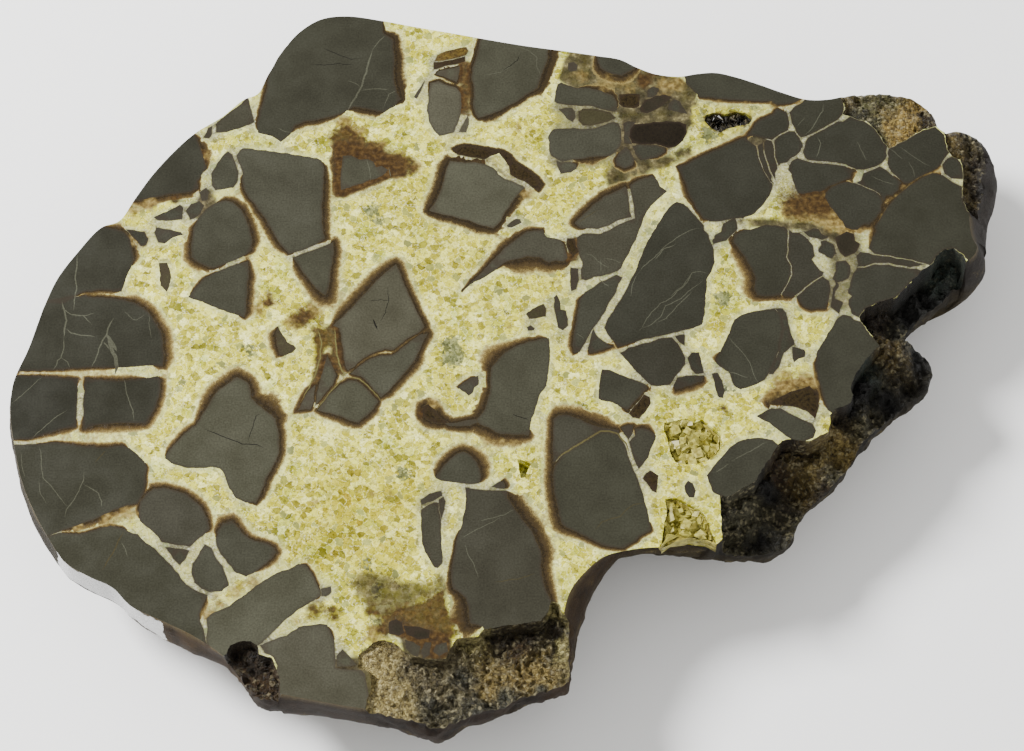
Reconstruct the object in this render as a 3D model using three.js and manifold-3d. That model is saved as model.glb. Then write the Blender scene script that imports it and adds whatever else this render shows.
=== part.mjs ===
// Half of a septarian nodule: a mudstone concretion that cracked inside, healed with calcite, and
// was sawn and polished on one side. It lies on its rounded back with the polished face up. The
// stone is one solid. Three open hollows in the calcite are each lined by a crust of crystals.
import * as THREE from "three";
import { mergeVertices } from "three/addons/utils/BufferGeometryUtils.js";
import Module from "manifold-3d";

const wasm = await Module();
wasm.setup();
const { Manifold, Mesh } = wasm;

// Driving sizes, in millimetres. Z = 0 is the ground, and the sawn face is at THICKNESS.
const THICKNESS = 50;
const HEART = [5, 0]; // middle of the flat that it rests on
const FLAT = [82, 60]; // half length and half width of that flat
const SPREAD = 9; // edge points over which the back is evened out, to either side
const LUMP = 0.8; // swell of the natural back
const RUGGED = 1.1; // relief of a broken surface
const CLEARANCE = 0.35; // between a crust and the rock of its hollow
const CRUST = 1.6; // thickness of the crust that the crystals grow from
const GRID = 4.5; // spacing of the points on a broken surface
const ABOVE = 12; // how far a cutter stands over the face

// The sawn edge in plan, counterclockwise: x, y, how far the side swells out below it, how deep.
const EDGE = [
  [181, 38, 4.8, 20],
  [183, 42, 6.3, 18],
  [181.5, 46, 8.8, 16],
  [181, 54, 9.3, 16],
  [182.5, 62, 9, 16],
  [184, 70, 10, 16],
  [184.5, 79, 10.5, 15],
  [184, 87, 8, 13],
  [179.5, 91, 4, 12],
  [174, 90.8, 2, 12],
  [171, 94, 2, 12],
  [170, 98.5, 3, 12],
  [167, 103, 3, 12],
  [161, 106.5, 3, 12],
  [153, 107.8, 3, 12],
  [145, 108.1, 3, 12],
  [137.5, 106.2, 3, 12],
  [131, 104.8, 3, 12],
  [123, 104.8, 3, 12],
  [114, 107.8, 3, 12],
  [105, 111.5, 3, 12],
  [96, 114.8, 3, 12],
  [89, 116.5, 3, 12],
  [82, 116, 3, 12],
  [75, 114.8, 3, 12],
  [66, 116, 3, 12],
  [59, 119, 3, 12],
  [53, 122.3, 3, 12],
  [44, 124, 3, 12],
  [31, 126.2, 3, 12],
  [17, 128.4, 3, 12],
  [2, 131.3, 3, 12],
  [-12, 134.2, 3, 12],
  [-26, 137, 3, 12],
  [-38, 139.6, 3, 12],
  [-51, 141.6, 3, 12],
  [-61, 140.2, 3, 12],
  [-69.6, 133.9, 3, 12],
  [-75.4, 125.4, 3, 12],
  [-80, 116.2, 3, 12],
  [-84, 107.2, 3, 12],
  [-89, 104.8, 3, 12],
  [-97, 97.2, 3, 12],
  [-107, 90, 3, 12],
  [-114.5, 82, 3, 12],
  [-122, 72, 3, 12],
  [-127.6, 62.5, 3, 12],
  [-133, 53, 3, 12],
  [-139.5, 50.2, 3, 12],
  [-147.5, 40, 3, 12],
  [-154.5, 28.5, 3, 12],
  [-159, 15, 3, 12],
  [-162.7, 1, 2.3, 12],
  [-167.3, -13, 1.8, 12],
  [-167.4, -25, 1.1, 12],
  [-165, -38, 0.6, 12],
  [-161.5, -51, 0.4, 12],
  [-156, -63.5, 0.4, 12],
  [-149.5, -74.5, 0.4, 12],
  [-144, -82, 0.6, 12],
  [-135.5, -87.2, 0.4, 12],
  [-127, -91.4, 0.4, 12],
  [-120.5, -98, 0.4, 12],
  [-110.5, -103, 2.6, 12],
  [-99, -108.6, 2.8, 12],
  [-88.5, -115.6, 0.4, 12],
  [-81.5, -122.5, 1, 12],
  [-76, -128.3, 2.5, 13],
  [-67, -130.2, 2.5, 14],
  [-55, -132.6, 0.8, 14],
  [-43, -134.8, 0.7, 14],
  [-31, -136.2, 1.4, 13],
  [-21, -138, 2.2, 13],
  [-14, -139, 3.2, 13],
  [-6, -136.6, 1.4, 13],
  [5, -133.4, 1.2, 14],
  [16, -129, 1, 14],
  [26, -126, 1.4, 14],
  [29.8, -122.4, 3.4, 14],
  [29.2, -112, 4.5, 14],
  [29.8, -102, 5.4, 15],
  [32.4, -92.5, 6, 15],
  [37.5, -85.6, 3.5, 14],
  [44, -80, 0.5, 14],
  [52, -77.6, -6.5, 14],
  [62, -76.4, -7.5, 14],
  [73, -76.6, -6.5, 14],
  [83, -75.6, -4.5, 14],
  [88, -71.5, 1.2, 18],
  [94, -72.4, 0.6, 20],
  [101, -71.6, 0.6, 20],
  [108, -67.6, 2, 22],
  [112, -60, 1.3, 22],
  [115.5, -54, 1.8, 22],
  [121.5, -48.5, 1.8, 22],
  [128, -42.5, 1.8, 22],
  [133, -37, 1.3, 22],
  [136.6, -30, 2, 22],
  [141.8, -24.6, 2, 22],
  [149, -17, 2, 22],
  [157, -11, 2, 22],
  [163, -6, 2, 22],
  [164.5, 0, 2, 20],
  [162, 5, 1, 16],
  [156.8, 7.8, 0.4, 14],
  [157.4, 13.5, 0.4, 16],
  [163, 21.6, 1, 18],
  [168.4, 28, 2, 20],
  [174, 33.6, 2, 20],
];

// Where the face is broken off lower: the outline of the break, counterclockwise, and its depth
// at some places. Outlines run past the edge where the break does.
const BREAKS = {
  corner: {
    outline: [
      [85.5, -57], [85.5, -95], [205, -95], [205, 35.5], [179, 35.5], [177.4, 39.5], [174, 41.5],
      [170.5, 41], [168, 38.5], [166, 35], [163.5, 33.5], [160, 30], [157, 27], [155, 24.5],
      [152, 21.5], [145, 19.3], [141, 17], [138, 13.5], [140, 9.5], [145, 2], [142, -1],
      [139, -4.5], [136, -9], [133.5, -14.5], [134.5, -17.5], [133.5, -21], [130.5, -22.3],
      [127.5, -23.2], [125.5, -25.5], [126, -28.5], [124.5, -32], [118, -36], [112, -35],
      [108, -35.5], [106, -38.5], [104, -42], [101, -46], [98, -51], [92, -55], [88, -57.4],
    ],
    depths: [
      [88, -60, 6], [95, -57, 7], [100, -52, 8], [104, -46, 9], [108, -40, 8], [90, -65, 12],
      [97, -62, 13], [104, -56, 15], [109, -49, 15], [92, -70, 16], [101, -67, 18],
      [107, -60, 19], [112, -50, 19], [118, -45, 17], [113, -39, 9], [119, -40, 12],
      [123, -36.5, 10], [129, -34, 15], [129, -27, 7], [134, -26, 10], [138, -21, 9],
      [137, -14, 8], [140, -8, 8], [144, -3, 9], [145, -14, 13], [150, -8, 12], [155, -3, 11],
      [143, -21, 16], [150, -15, 17], [158, -8, 18], [163, -2, 16], [160, 3, 12], [150, -1, 8],
      [143, 9, 4], [148, 6, 5], [154, 5.5, 6], [147, 2, 5], [142, 14.5, 10], [148, 16, 11],
      [154, 20, 12], [160, 26, 13], [166, 31, 14], [171, 36.5, 12], [174, 39, 9],
      [152, 12.5, 13], [158, 17, 16], [165, 25, 17], [172, 31, 18], [178, 34, 16],
    ],
  },
  front: {
    outline: [
      [-37.5, -132], [-39, -150], [45, -150], [45, -102], [29.6, -101], [28, -97], [25.5, -96.3],
      [24.5, -100], [22, -103.8], [8, -105.8], [2, -107], [0, -109.5], [-7, -110],
      [-8.5, -112], [-11, -117.5], [-17, -118], [-23, -116.5], [-27, -113], [-32, -110.5],
      [-36, -112], [-40.5, -116], [-41, -120.5], [-37.5, -122.5], [-36, -127],
    ],
    depths: [
      [8, -109, 6], [16, -108, 7], [22, -106.5, 6], [0, -113, 5], [-7, -113, 4], [10, -116, 8],
      [20, -114, 8], [0, -118, 7], [24, -119, 7], [8, -124, 8], [18, -122, 8], [-3, -128, 6],
      [-12, -122, 4.5], [-12, -132, 5.5], [-20, -124, 3], [-22, -133, 4], [-30, -118, 2],
      [-32, -126, 2], [-30, -132, 2.5], [-37, -117, 1.2], [26, -102, 5], [27, -112, 7],
    ],
  },
  crusted: {
    outline: [
      [136, 115], [136.5, 104], [137.5, 101], [136.5, 98.5], [140, 96.8], [145, 95.5],
      [148.5, 91.5], [151, 87], [153, 83.8], [160, 87.7], [166.5, 91.8], [178, 96], [178, 115],
    ],
    depths: [
      [142, 99, 2.5], [150, 97, 3], [155, 89, 2], [148, 104, 3.5], [160, 98, 2.5],
      [165, 97, 3.5], [155, 106, 5], [145, 107, 5], [165, 103, 5], [138, 104, 2],
    ],
  },
  shoulder: {
    outline: [
      [174, 96], [174.5, 87], [174.8, 83.5], [176.5, 80.5], [179.3, 79], [180, 74], [179, 62],
      [180.5, 57.5], [183, 55], [205, 54], [205, 96],
    ],
    depths: [
      [177, 85, 1.8], [181, 82, 3], [184, 76, 4], [185, 66, 4], [184, 59, 4], [181, 66, 2.5],
      [182, 74, 3], [186, 84, 5],
    ],
  },
  pits: {
    outline: [
      [-86, -115], [-92, -122], [-92, -136], [-67, -136], [-67.5, -126], [-68.8, -121.5],
      [-70.3, -117.5], [-75.3, -115.7], [-75.5, -113], [-78, -111], [-82, -111.3], [-85, -112.5],
    ],
    depths: [
      [-83, -115, 5], [-79, -114, 4], [-79, -118, 6], [-78, -122, 7], [-73, -120, 4],
      [-71, -125, 3.5], [-75, -127, 5], [-84, -119, 5],
    ],
  },
};

// The open hollows in the calcite, counterclockwise, and how deep their rock floor lies.
const SLOT = [
  [84.5, 95.5], [86, 93.3], [88, 91.3], [90.5, 90.3], [92.5, 92], [97, 93.4], [101, 94.3],
  [102.3, 96.8], [100, 98.8], [96, 99.3], [92, 98.3], [88, 99.2], [85, 98],
];
const HONEY = [
  [66.3, -31.5], [67.5, -35.5], [68.5, -40.5], [70, -44], [74, -44.8], [78, -44.5],
  [81.5, -43.5], [84.5, -41], [86, -38.5], [86.5, -33.5], [84, -31], [80, -27.5], [77, -28.5],
  [74, -27], [70, -28], [66.5, -28.5],
];
const BRINK = [
  [66.5, -63], [65.5, -68], [64.5, -74], [65, -84], [83.5, -84], [83.5, -74], [82, -70],
  [81, -66], [78, -62], [75, -60.5], [70, -57.5], [66, -58],
];
const NOOK = [[14, -43], [14.5, -47], [15, -50], [16.5, -49.5], [18.8, -44.5], [15.3, -43]];
const SLOT_DEPTH = 11;
const HONEY_DEPTH = 9;
const BRINK_DEPTH = 8;
const NOOK_DEPTH = 5;

// Crystals of each crust: x, y, size, height of the centre under the face, turn and lean in degrees.
const DOG_TEETH = [
  [86.2, 96, 2.3, 5, 200, 20], [89, 92.6, 2.2, 4.5, 120, 24], [93.2, 93.6, 2, 4.8, 80, 20],
  [97.5, 94.6, 2.3, 5, 95, 22], [100.6, 96.2, 2, 4.5, 20, 22], [98, 98, 2, 5.2, 265, 24],
  [93.6, 97.6, 2.2, 4.6, 280, 20], [89.4, 97.8, 2.2, 5, 250, 22], [91.4, 95.4, 1.8, 7.5, 0, 5],
  [95.6, 96.2, 1.8, 7.2, 0, 8],
];
const HONEY_RHOMBS = [
  [75.8, -34.2, 6.6, 4.4, 12, 10], [70.2, -30.6, 4.6, 4.4, 70, 25], [70.6, -36.4, 4.8, 5.8, 40, 30],
  [81.6, -34.2, 5, 4.8, 100, 22], [79.8, -39.6, 5, 5.2, 150, 28], [74.6, -40.8, 4.8, 4.6, 20, 24],
  [83.4, -38.6, 4, 5.4, 60, 30], [71.4, -42, 3.8, 4.2, 110, 18], [75.4, -29.4, 3.8, 4, 30, 30],
  [80.4, -30.2, 3.8, 4.4, 135, 26],
];
const BRINK_RHOMBS = [
  [69, -61.6, 5, 4, 25, 22], [74.8, -67.4, 5, 4.2, 70, 18], [69, -67.6, 4.4, 5.4, 110, 30],
  [72.4, -72.2, 4.6, 4.4, 15, 25], [67.6, -72.6, 4, 4.2, 80, 20], [78.4, -70.6, 4, 4.2, 140, 24],
  [78.6, -65.4, 3.6, 4.2, 40, 28], [74.2, -62.8, 3.6, 4.2, 100, 24], [81, -72.6, 3.4, 4.4, 10, 22],
  [76.6, -74, 3.4, 4.8, 60, 20],
];

const rad = (degrees) => (degrees * Math.PI) / 180;
const wave = (t) => Math.sin(t);

// A closed three.js geometry as a manifold-3d solid, and back.
function solid(geometry) {
  const bare = new THREE.BufferGeometry();
  bare.setAttribute("position", geometry.getAttribute("position").clone());
  if (geometry.index) bare.setIndex(geometry.index.clone());
  const merged = mergeVertices(bare, 1e-4);
  return new Manifold(new Mesh({
    numProp: 3,
    vertProperties: merged.attributes.position.array,
    triVerts: new Uint32Array(merged.index.array),
  }));
}

function geometryOf(made) {
  const mesh = made.getMesh();
  const geometry = new THREE.BufferGeometry();
  geometry.setAttribute("position", new THREE.BufferAttribute(mesh.vertProperties, 3));
  geometry.setIndex(new THREE.BufferAttribute(mesh.triVerts, 1));
  geometry.computeVertexNormals();
  return geometry;
}

// Low swells of the natural surface, and the closer relief of a break.
function lumps(x, y, z) {
  return LUMP * (0.8 * wave(x / 24 + z / 14) + 0.7 * wave(y / 21 - z / 12 + 1.3)
    + 0.35 * wave((x + y) / 11 + 2.1) + 0.3 * wave((x - y) / 8 + z / 6));
}

function relief(x, y) {
  return RUGGED * (0.6 * wave(x / 2.9 + wave(y / 4.1) * 1.5) + 0.5 * wave(y / 2.3 + x / 5.2)
    + 0.3 * wave((x - y) / 1.9 + 0.7));
}

// The sawn edge as a smooth loop: two points for each row, with swell, drop and outward direction.
function edgeLoop() {
  const curve = new THREE.CatmullRomCurve3(
    EDGE.map(([x, y]) => new THREE.Vector3(x, y, 0)), true, "centripetal");
  const count = EDGE.length * 2;
  return Array.from({ length: count }, (_, i) => {
    const p = curve.getPoint(i / count);
    const out = curve.getTangent(i / count);
    const row = EDGE[i >> 1];
    const next = EDGE[((i >> 1) + (i & 1)) % EDGE.length];
    return { x: p.x, y: p.y, nx: out.y, ny: -out.x,
      swell: (row[2] + next[2]) / 2, drop: (row[3] + next[3]) / 2 };
  });
}

// Where each point comes down on the flat of the back: its bearing, evened out along the edge.
function setDown(loop) {
  const n = loop.length;
  const bearing = (p) => Math.atan2(p.y - HEART[1], p.x - HEART[0]);
  const even = (i) => bearing(loop[0]) + (2 * Math.PI * i) / n;
  const ahead = loop.map((p, i) => Math.atan2(Math.sin(bearing(p) - even(i)),
    Math.cos(bearing(p) - even(i))));
  return loop.map((p, i) => {
    let mean = 0;
    for (let k = -SPREAD; k <= SPREAD; k++) mean += ahead[(i + k + n) % n] / (2 * SPREAD + 1);
    const turn = even(i) + 0.85 * mean;
    return { ...p, rx: HEART[0] + FLAT[0] * Math.cos(turn), ry: HEART[1] + FLAT[1] * Math.sin(turn) };
  });
}

// A point of the side, a given depth under the face: out to the girth, then in under the back.
function sidePoint(p, depth) {
  const swell = p.swell * Math.sin((Math.PI / 2) * Math.min(1, depth / p.drop));
  let x = p.x + p.nx * swell;
  let y = p.y + p.ny * swell;
  const under = Math.max(0, (depth - p.drop) / (THICKNESS - p.drop));
  const share = Math.sqrt(Math.max(0, 1 - under * under));
  x = p.rx + (x - p.rx) * share;
  y = p.ry + (y - p.ry) * share;
  const lump = lumps(x, y, THICKNESS - depth) * Math.min(1, depth / 8, (THICKNESS - depth) / 10);
  return [x + p.nx * lump, y + p.ny * lump, THICKNESS - depth];
}

// The stone before the breaks: rings from the sawn edge down to the flat of the back.
function stone() {
  const loop = setDown(edgeLoop());
  const depths = [0, 4, 9, 15, 22, 29, 36, 42, 46.5, 49.2, THICKNESS];
  const points = depths.flatMap((depth) => loop.flatMap((p) => sidePoint(p, depth)));
  const n = loop.length;
  const last = depths.length - 1;
  const faces = [];
  for (let k = 0; k < last; k++)
    for (let i = 0; i < n; i++) {
      const a = k * n + i, b = k * n + ((i + 1) % n);
      faces.push(a, b + n, b, a, a + n, b + n);
    }
  const cap = (k) => THREE.ShapeUtils.triangulateShape(
    loop.map((_, i) => new THREE.Vector2(points[(k * n + i) * 3], points[(k * n + i) * 3 + 1])), []);
  cap(0).forEach(([a, b, c]) => faces.push(a, b, c));
  cap(last).forEach(([a, b, c]) => faces.push(last * n + a, last * n + c, last * n + b));
  const geometry = new THREE.BufferGeometry();
  geometry.setAttribute("position", new THREE.Float32BufferAttribute(points, 3));
  geometry.setIndex(faces);
  return solid(geometry);
}

// An upright prism over an outline, between two heights.
function prism(outline, from, to) {
  const shape = new THREE.Shape(outline.map(([x, y]) => new THREE.Vector2(x, y)));
  const geometry = new THREE.ExtrudeGeometry(shape, { depth: to - from, bevelEnabled: false });
  return solid(geometry.translate(0, 0, from));
}

// Depth of a break at a place, from its nearest given depths, with its relief.
function depthAt(depths, x, y) {
  let sum = 0, weights = 0;
  for (const [px, py, depth] of depths) {
    const weight = 1 / ((x - px) ** 2 + (y - py) ** 2 + 2) ** 1.6;
    sum += weight * depth;
    weights += weight;
  }
  const depth = sum / weights;
  return Math.max(0.5, depth + relief(x, y) * Math.min(1, depth / 5));
}

// The stone that a break took away: a block over the outline whose underside is the break.
function breakage({ outline, depths }) {
  const xs = depths.map((d) => d[0]), ys = depths.map((d) => d[1]);
  const [x0, x1] = [Math.min(...xs) - 22, Math.max(...xs) + 32];
  const [y0, y1] = [Math.min(...ys) - 22, Math.max(...ys) + 14];
  const columns = Math.round((x1 - x0) / GRID), rows = Math.round((y1 - y0) / GRID);
  const block = new THREE.BoxGeometry(x1 - x0, y1 - y0, 2, columns, rows, 1);
  block.translate((x0 + x1) / 2, (y0 + y1) / 2, 0);
  const at = block.getAttribute("position");
  for (let i = 0; i < at.count; i++)
    at.setZ(i, at.getZ(i) > 0 ? THICKNESS + ABOVE
      : THICKNESS - depthAt(depths, at.getX(i), at.getY(i)));
  return solid(block).intersect(prism(outline, 0, THICKNESS + ABOVE * 2));
}

// A calcite rhomb: a cube pressed along its diagonal, then turned and leant.
function rhomb([x, y, size, under, turn, lean]) {
  const cube = new THREE.BoxGeometry(size, size, size);
  cube.rotateZ(rad(45)).rotateX(rad(54.7)).scale(1, 1, 0.82);
  cube.rotateX(rad(lean - 30)).rotateZ(rad(turn));
  return solid(cube.translate(x, y, THICKNESS - under));
}

// A dog-tooth crystal: a six-sided spike that leans in over the hollow.
function dogTooth([x, y, size, under, turn, lean]) {
  const spike = new THREE.ConeGeometry(size / 2, size * 2.2, 6);
  spike.rotateX(rad(90)).rotateY(rad(-lean)).rotateZ(rad(turn + 180));
  return solid(spike.translate(x, y, THICKNESS - under));
}

// An outline drawn in by a distance, corner by corner.
function drawnIn(outline, distance) {
  const n = outline.length;
  return outline.map(([x, y], i) => {
    const [ax, ay] = outline[(i + n - 1) % n], [bx, by] = outline[(i + 1) % n];
    const u = new THREE.Vector2(x - ax, y - ay).normalize();
    const v = new THREE.Vector2(bx - x, by - y).normalize();
    const inward = new THREE.Vector2(-u.y - v.y, u.x + v.x).normalize();
    const reach = distance / Math.max(0.5, inward.x * -u.y + inward.y * u.x);
    return [x + inward.x * reach, y + inward.y * reach];
  });
}

// The crust of a hollow: a thin lining on its floor with the crystals grown out of it.
function crust(outline, depth, crystals, grow) {
  const floor = THICKNESS - depth + CLEARANCE;
  const room = prism(drawnIn(outline, CLEARANCE), floor, THICKNESS - 0.2).intersect(whole);
  const stems = crystals.map(([x, y, size, under]) =>
    solid(new THREE.CylinderGeometry(size * 0.35, size * 0.5, depth - under, 4)
      .rotateX(rad(90)).translate(x, y, (floor + THICKNESS - under) / 2)));
  const lining = prism(drawnIn(outline, CLEARANCE), floor, floor + CRUST);
  return Manifold.union([lining, ...stems, ...crystals.map(grow)]).intersect(room);
}

const whole = stone();
const hollows = [
  prism(SLOT, THICKNESS - SLOT_DEPTH, THICKNESS + ABOVE),
  prism(HONEY, THICKNESS - HONEY_DEPTH, THICKNESS + ABOVE),
  prism(BRINK, THICKNESS - BRINK_DEPTH, THICKNESS + ABOVE),
  prism(NOOK, THICKNESS - NOOK_DEPTH, THICKNESS + ABOVE),
];
const nodule = Object.values(BREAKS).map(breakage).concat(hollows)
  .reduce((rest, taken) => rest.subtract(taken), whole);

const calcite = { color: 0xcfc783, roughness: 0.25, metalness: 0 };
const part = new THREE.Group();
function piece(name, made, look) {
  const mesh = new THREE.Mesh(geometryOf(made), new THREE.MeshStandardMaterial(look));
  mesh.name = name;
  part.add(mesh);
}
piece("nodule", nodule, { color: 0x46443a, roughness: 0.35, metalness: 0 });
piece("slot_crystals", crust(SLOT, SLOT_DEPTH, DOG_TEETH, dogTooth),
  { color: 0x8f8a5c, roughness: 0.35, metalness: 0 });
piece("honey_crystals", crust(HONEY, HONEY_DEPTH, HONEY_RHOMBS, rhomb), calcite);
piece("brink_crystals", crust(BRINK, BRINK_DEPTH, BRINK_RHOMBS, rhomb), calcite);

export default part;
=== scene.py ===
import math
import bmesh
import bpy
import numpy as np
from mathutils import Matrix, Vector, kdtree, noise
from mathutils.geometry import delaunay_2d_cdt


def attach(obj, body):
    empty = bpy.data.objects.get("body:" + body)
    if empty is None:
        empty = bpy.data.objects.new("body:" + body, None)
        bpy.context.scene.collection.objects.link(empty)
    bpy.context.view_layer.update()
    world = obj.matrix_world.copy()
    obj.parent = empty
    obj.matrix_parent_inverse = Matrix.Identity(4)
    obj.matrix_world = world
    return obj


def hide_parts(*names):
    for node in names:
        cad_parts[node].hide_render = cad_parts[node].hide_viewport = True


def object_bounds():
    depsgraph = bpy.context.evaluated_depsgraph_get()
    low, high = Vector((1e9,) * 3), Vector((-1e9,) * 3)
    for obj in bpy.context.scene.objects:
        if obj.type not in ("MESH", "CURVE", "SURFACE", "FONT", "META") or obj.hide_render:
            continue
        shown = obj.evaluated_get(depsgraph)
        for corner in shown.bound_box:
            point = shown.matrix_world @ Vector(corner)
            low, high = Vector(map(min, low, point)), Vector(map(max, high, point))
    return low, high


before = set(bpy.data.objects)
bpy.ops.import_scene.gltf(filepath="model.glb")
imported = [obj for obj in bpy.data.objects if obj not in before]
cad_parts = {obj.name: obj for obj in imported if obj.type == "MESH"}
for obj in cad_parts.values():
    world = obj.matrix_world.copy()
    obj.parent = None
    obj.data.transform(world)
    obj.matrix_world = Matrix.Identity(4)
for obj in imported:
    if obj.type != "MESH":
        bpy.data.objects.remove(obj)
cad_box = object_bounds()

# ---- The studio -------------------------------------------------------------------------------
# A long lens looks down on the polished face from the front. The table is plain and pale, a large
# soft lamp stands at the upper left, and a weak one fills in from the right.
LOOK_AT = Vector((0.012, -0.010, 0.050))
ELEVATION = math.radians(65)
AWAY = 1.024


def to_linear(hex_colour):
    """An sRGB hex colour as linear red, green, blue and 1."""
    channels = [int(hex_colour[i:i + 2], 16) / 255 for i in (1, 3, 5)]
    return tuple(c / 12.92 if c <= 0.04045 else ((c + 0.055) / 1.055) ** 2.4
                 for c in channels) + (1.0,)


def add_node(tree, kind, settings, *inputs, **named):
    """One node with its settings. Its inputs come in order, by name or by number (i6), as values,
    hex colours, sockets, or nodes whose first live output is meant; None leaves one as it is."""
    node = tree.nodes.new(kind)
    for name, value in settings.items():
        if name == "stops":
            elements = node.color_ramp.elements
            while len(elements) < len(value):
                elements.new(0.5)
            for element, (place, _) in zip(elements, value):
                element.position = place
            for element, (_, hex_colour) in zip(elements, value):
                element.color = to_linear(hex_colour)
        else:
            setattr(node, name, value)
    given = list(enumerate(inputs))
    given += [(int(name[1:]) if name[1:].isdigit() else name.replace("_", " "), value)
              for name, value in named.items()]
    for key, value in given:
        if isinstance(value, bpy.types.Node):
            value = next(out for out in value.outputs if out.enabled)
        if isinstance(value, bpy.types.NodeSocket):
            tree.links.new(value, node.inputs[key])
        elif value is not None:
            node.inputs[key].default_value = (to_linear(value) if isinstance(value, str)
                                              else value)
    return node


def new_material(name):
    """An empty node material, with its tree and its output node."""
    material = bpy.data.materials.new(name)
    material.use_nodes = True
    tree = material.node_tree
    tree.nodes.clear()
    return material, tree, tree.nodes.new("ShaderNodeOutputMaterial")


camera_data = bpy.data.cameras.new("camera")
camera_data.lens, camera_data.sensor_width = 100, 36
camera_data.clip_start, camera_data.clip_end = 0.05, 20
camera = bpy.data.objects.new("camera", camera_data)
camera.location = LOOK_AT + AWAY * Vector((0, -math.cos(ELEVATION), math.sin(ELEVATION)))
camera.rotation_euler = (math.pi / 2 - ELEVATION, 0, 0)
bpy.context.scene.collection.objects.link(camera)
bpy.context.scene.camera = camera

for name, place, size, power in (("key", (-1.3, 0.5, 1.35), 0.6, 95.0),
                                 ("fill", (1.2, -0.5, 1.2), 1.2, 2.0)):
    lamp = bpy.data.lights.new(name, "AREA")
    lamp.shape, lamp.size, lamp.energy = "DISK", size, power
    light = bpy.data.objects.new(name, lamp)
    light.location = place
    light.rotation_euler = (LOOK_AT - Vector(place)).to_track_quat("-Z", "Y").to_euler()
    bpy.context.scene.collection.objects.link(light)

world = bpy.data.worlds.new("studio")
world.use_nodes = True
world.node_tree.nodes["Background"].inputs["Color"].default_value = to_linear("#fbfaf8")
world.node_tree.nodes["Background"].inputs["Strength"].default_value = 0.95
bpy.context.scene.world = world

table_mesh = bpy.data.meshes.new("table")
table_mesh.from_pydata([(-4, -4, 0), (4, -4, 0), (4, 4, 0), (-4, 4, 0)], [], [(0, 1, 2, 3)])
table = bpy.data.objects.new("table", table_mesh)
bpy.context.scene.collection.objects.link(table)
# Matt white lacquer on a board: even, pale and without a mirror image.
lacquer, tree, output = new_material("matt_white_lacquer")
shader = add_node(tree, "ShaderNodeBsdfPrincipled", {}, Base_Color="#fbfbfa", Roughness=0.9,
                  Specular_IOR_Level=0.1)
tree.links.new(shader.outputs[0], output.inputs["Surface"])
table_mesh.materials.append(lacquer)

# ---- The stone: its sawn edge, side and back ---------------------------------------------------
# Half of a mudstone concretion, sawn flat, and left natural on its rounded back. Sizes are in
# millimetres. The side swells out under the sawn edge and then closes in to the flat it lies on.
THICKNESS = 50
HEART, FLAT = (5, 0), (82, 60)  # the middle of the flat, and its half length and half width
SPREAD, FOLLOW = 9, 0.85  # how far round bearings are evened, and how much the flat follows them
LUMP = 0.8
PER_ROW = 8  # places between two given ones of the sawn edge
# x, y of the sawn edge in plan, how far the side swells out below it, and how deep that is.
EDGE = """
181,38,4.8,20 183,42,6.3,18 181.5,46,8.8,16 181,54,9.3,16 182.5,62,9,16 184,70,10,16 184.5,79,10.5,15
184,87,8,13 179.5,91,4,12 174,90.8,2,12 171,94,2,12 170,98.5,3,12 167,103,3,12 161,106.5,3,12
153,107.8,3,12 145,108.1,3,12 137.5,106.2,3,12 131,104.8,3,12 123,104.8,3,12 114,107.8,3,12
105,111.5,3,12 96,114.8,3,12 89,116.5,3,12 82,116,3,12 75,114.8,3,12 66,116,3,12 59,119,3,12
53,122.3,3,12 44,124,3,12 31,126.2,3,12 17,128.4,3,12 2,131.3,3,12 -12,134.2,3,12 -26,137,3,12
-38,139.6,3,12 -51,141.6,3,12 -61,140.2,3,12 -69.6,133.9,3,12 -75.4,125.4,3,12 -80,116.2,3,12
-84,107.2,3,12 -89,104.8,3,12 -97,97.2,3,12 -107,90,3,12 -114.5,82,3,12 -122,72,3,12 -127.6,62.5,3,12
-133,53,3,12 -139.5,50.2,3,12 -147.5,40,3,12 -154.5,28.5,3,12 -159,15,3,12 -162.7,1,2.3,12
-167.3,-13,1.8,12 -167.4,-25,1.1,12 -165,-38,0.6,12 -161.5,-51,0.4,12 -156,-63.5,0.4,12
-149.5,-74.5,0.4,12 -144,-82,0.6,12 -135.5,-87.2,0.4,12 -127,-91.4,0.4,12 -120.5,-98,0.4,12
-110.5,-103,2.6,12 -99,-108.6,2.8,12 -88.5,-115.6,0.4,12 -81.5,-122.5,1,12 -76,-128.3,2.5,13
-67,-130.2,2.5,14 -55,-132.6,0.8,14 -43,-134.8,0.7,14 -31,-136.2,1.4,13 -21,-138,2.2,13
-14,-139,3.2,13 -6,-136.6,1.4,13 5,-133.4,1.2,14 16,-129,1,14 26,-126,1.4,14 29.8,-122.4,3.4,14
29.2,-112,4.5,14 29.8,-102,5.4,15 32.4,-92.5,6,15 37.5,-85.6,3.5,14 44,-80,0.5,14 52,-77.6,-6.5,14
62,-76.4,-7.5,14 73,-76.6,-6.5,14 83,-75.6,-4.5,14 88,-71.5,1.2,18 94,-72.4,0.6,20 101,-71.6,0.6,20
108,-67.6,2,22 112,-60,1.3,22 115.5,-54,1.8,22 121.5,-48.5,1.8,22 128,-42.5,1.8,22 133,-37,1.3,22
136.6,-30,2,22 141.8,-24.6,2,22 149,-17,2,22 157,-11,2,22 163,-6,2,22 164.5,0,2,20 162,5,1,16
156.8,7.8,0.4,14 157.4,13.5,0.4,16 163,21.6,1,18 168.4,28,2,20 174,33.6,2,20
"""


def rows_of(text):
    """A list of rows, each the numbers of one word of the text."""
    return [tuple(map(float, word.split(","))) for word in text.split()]


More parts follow.
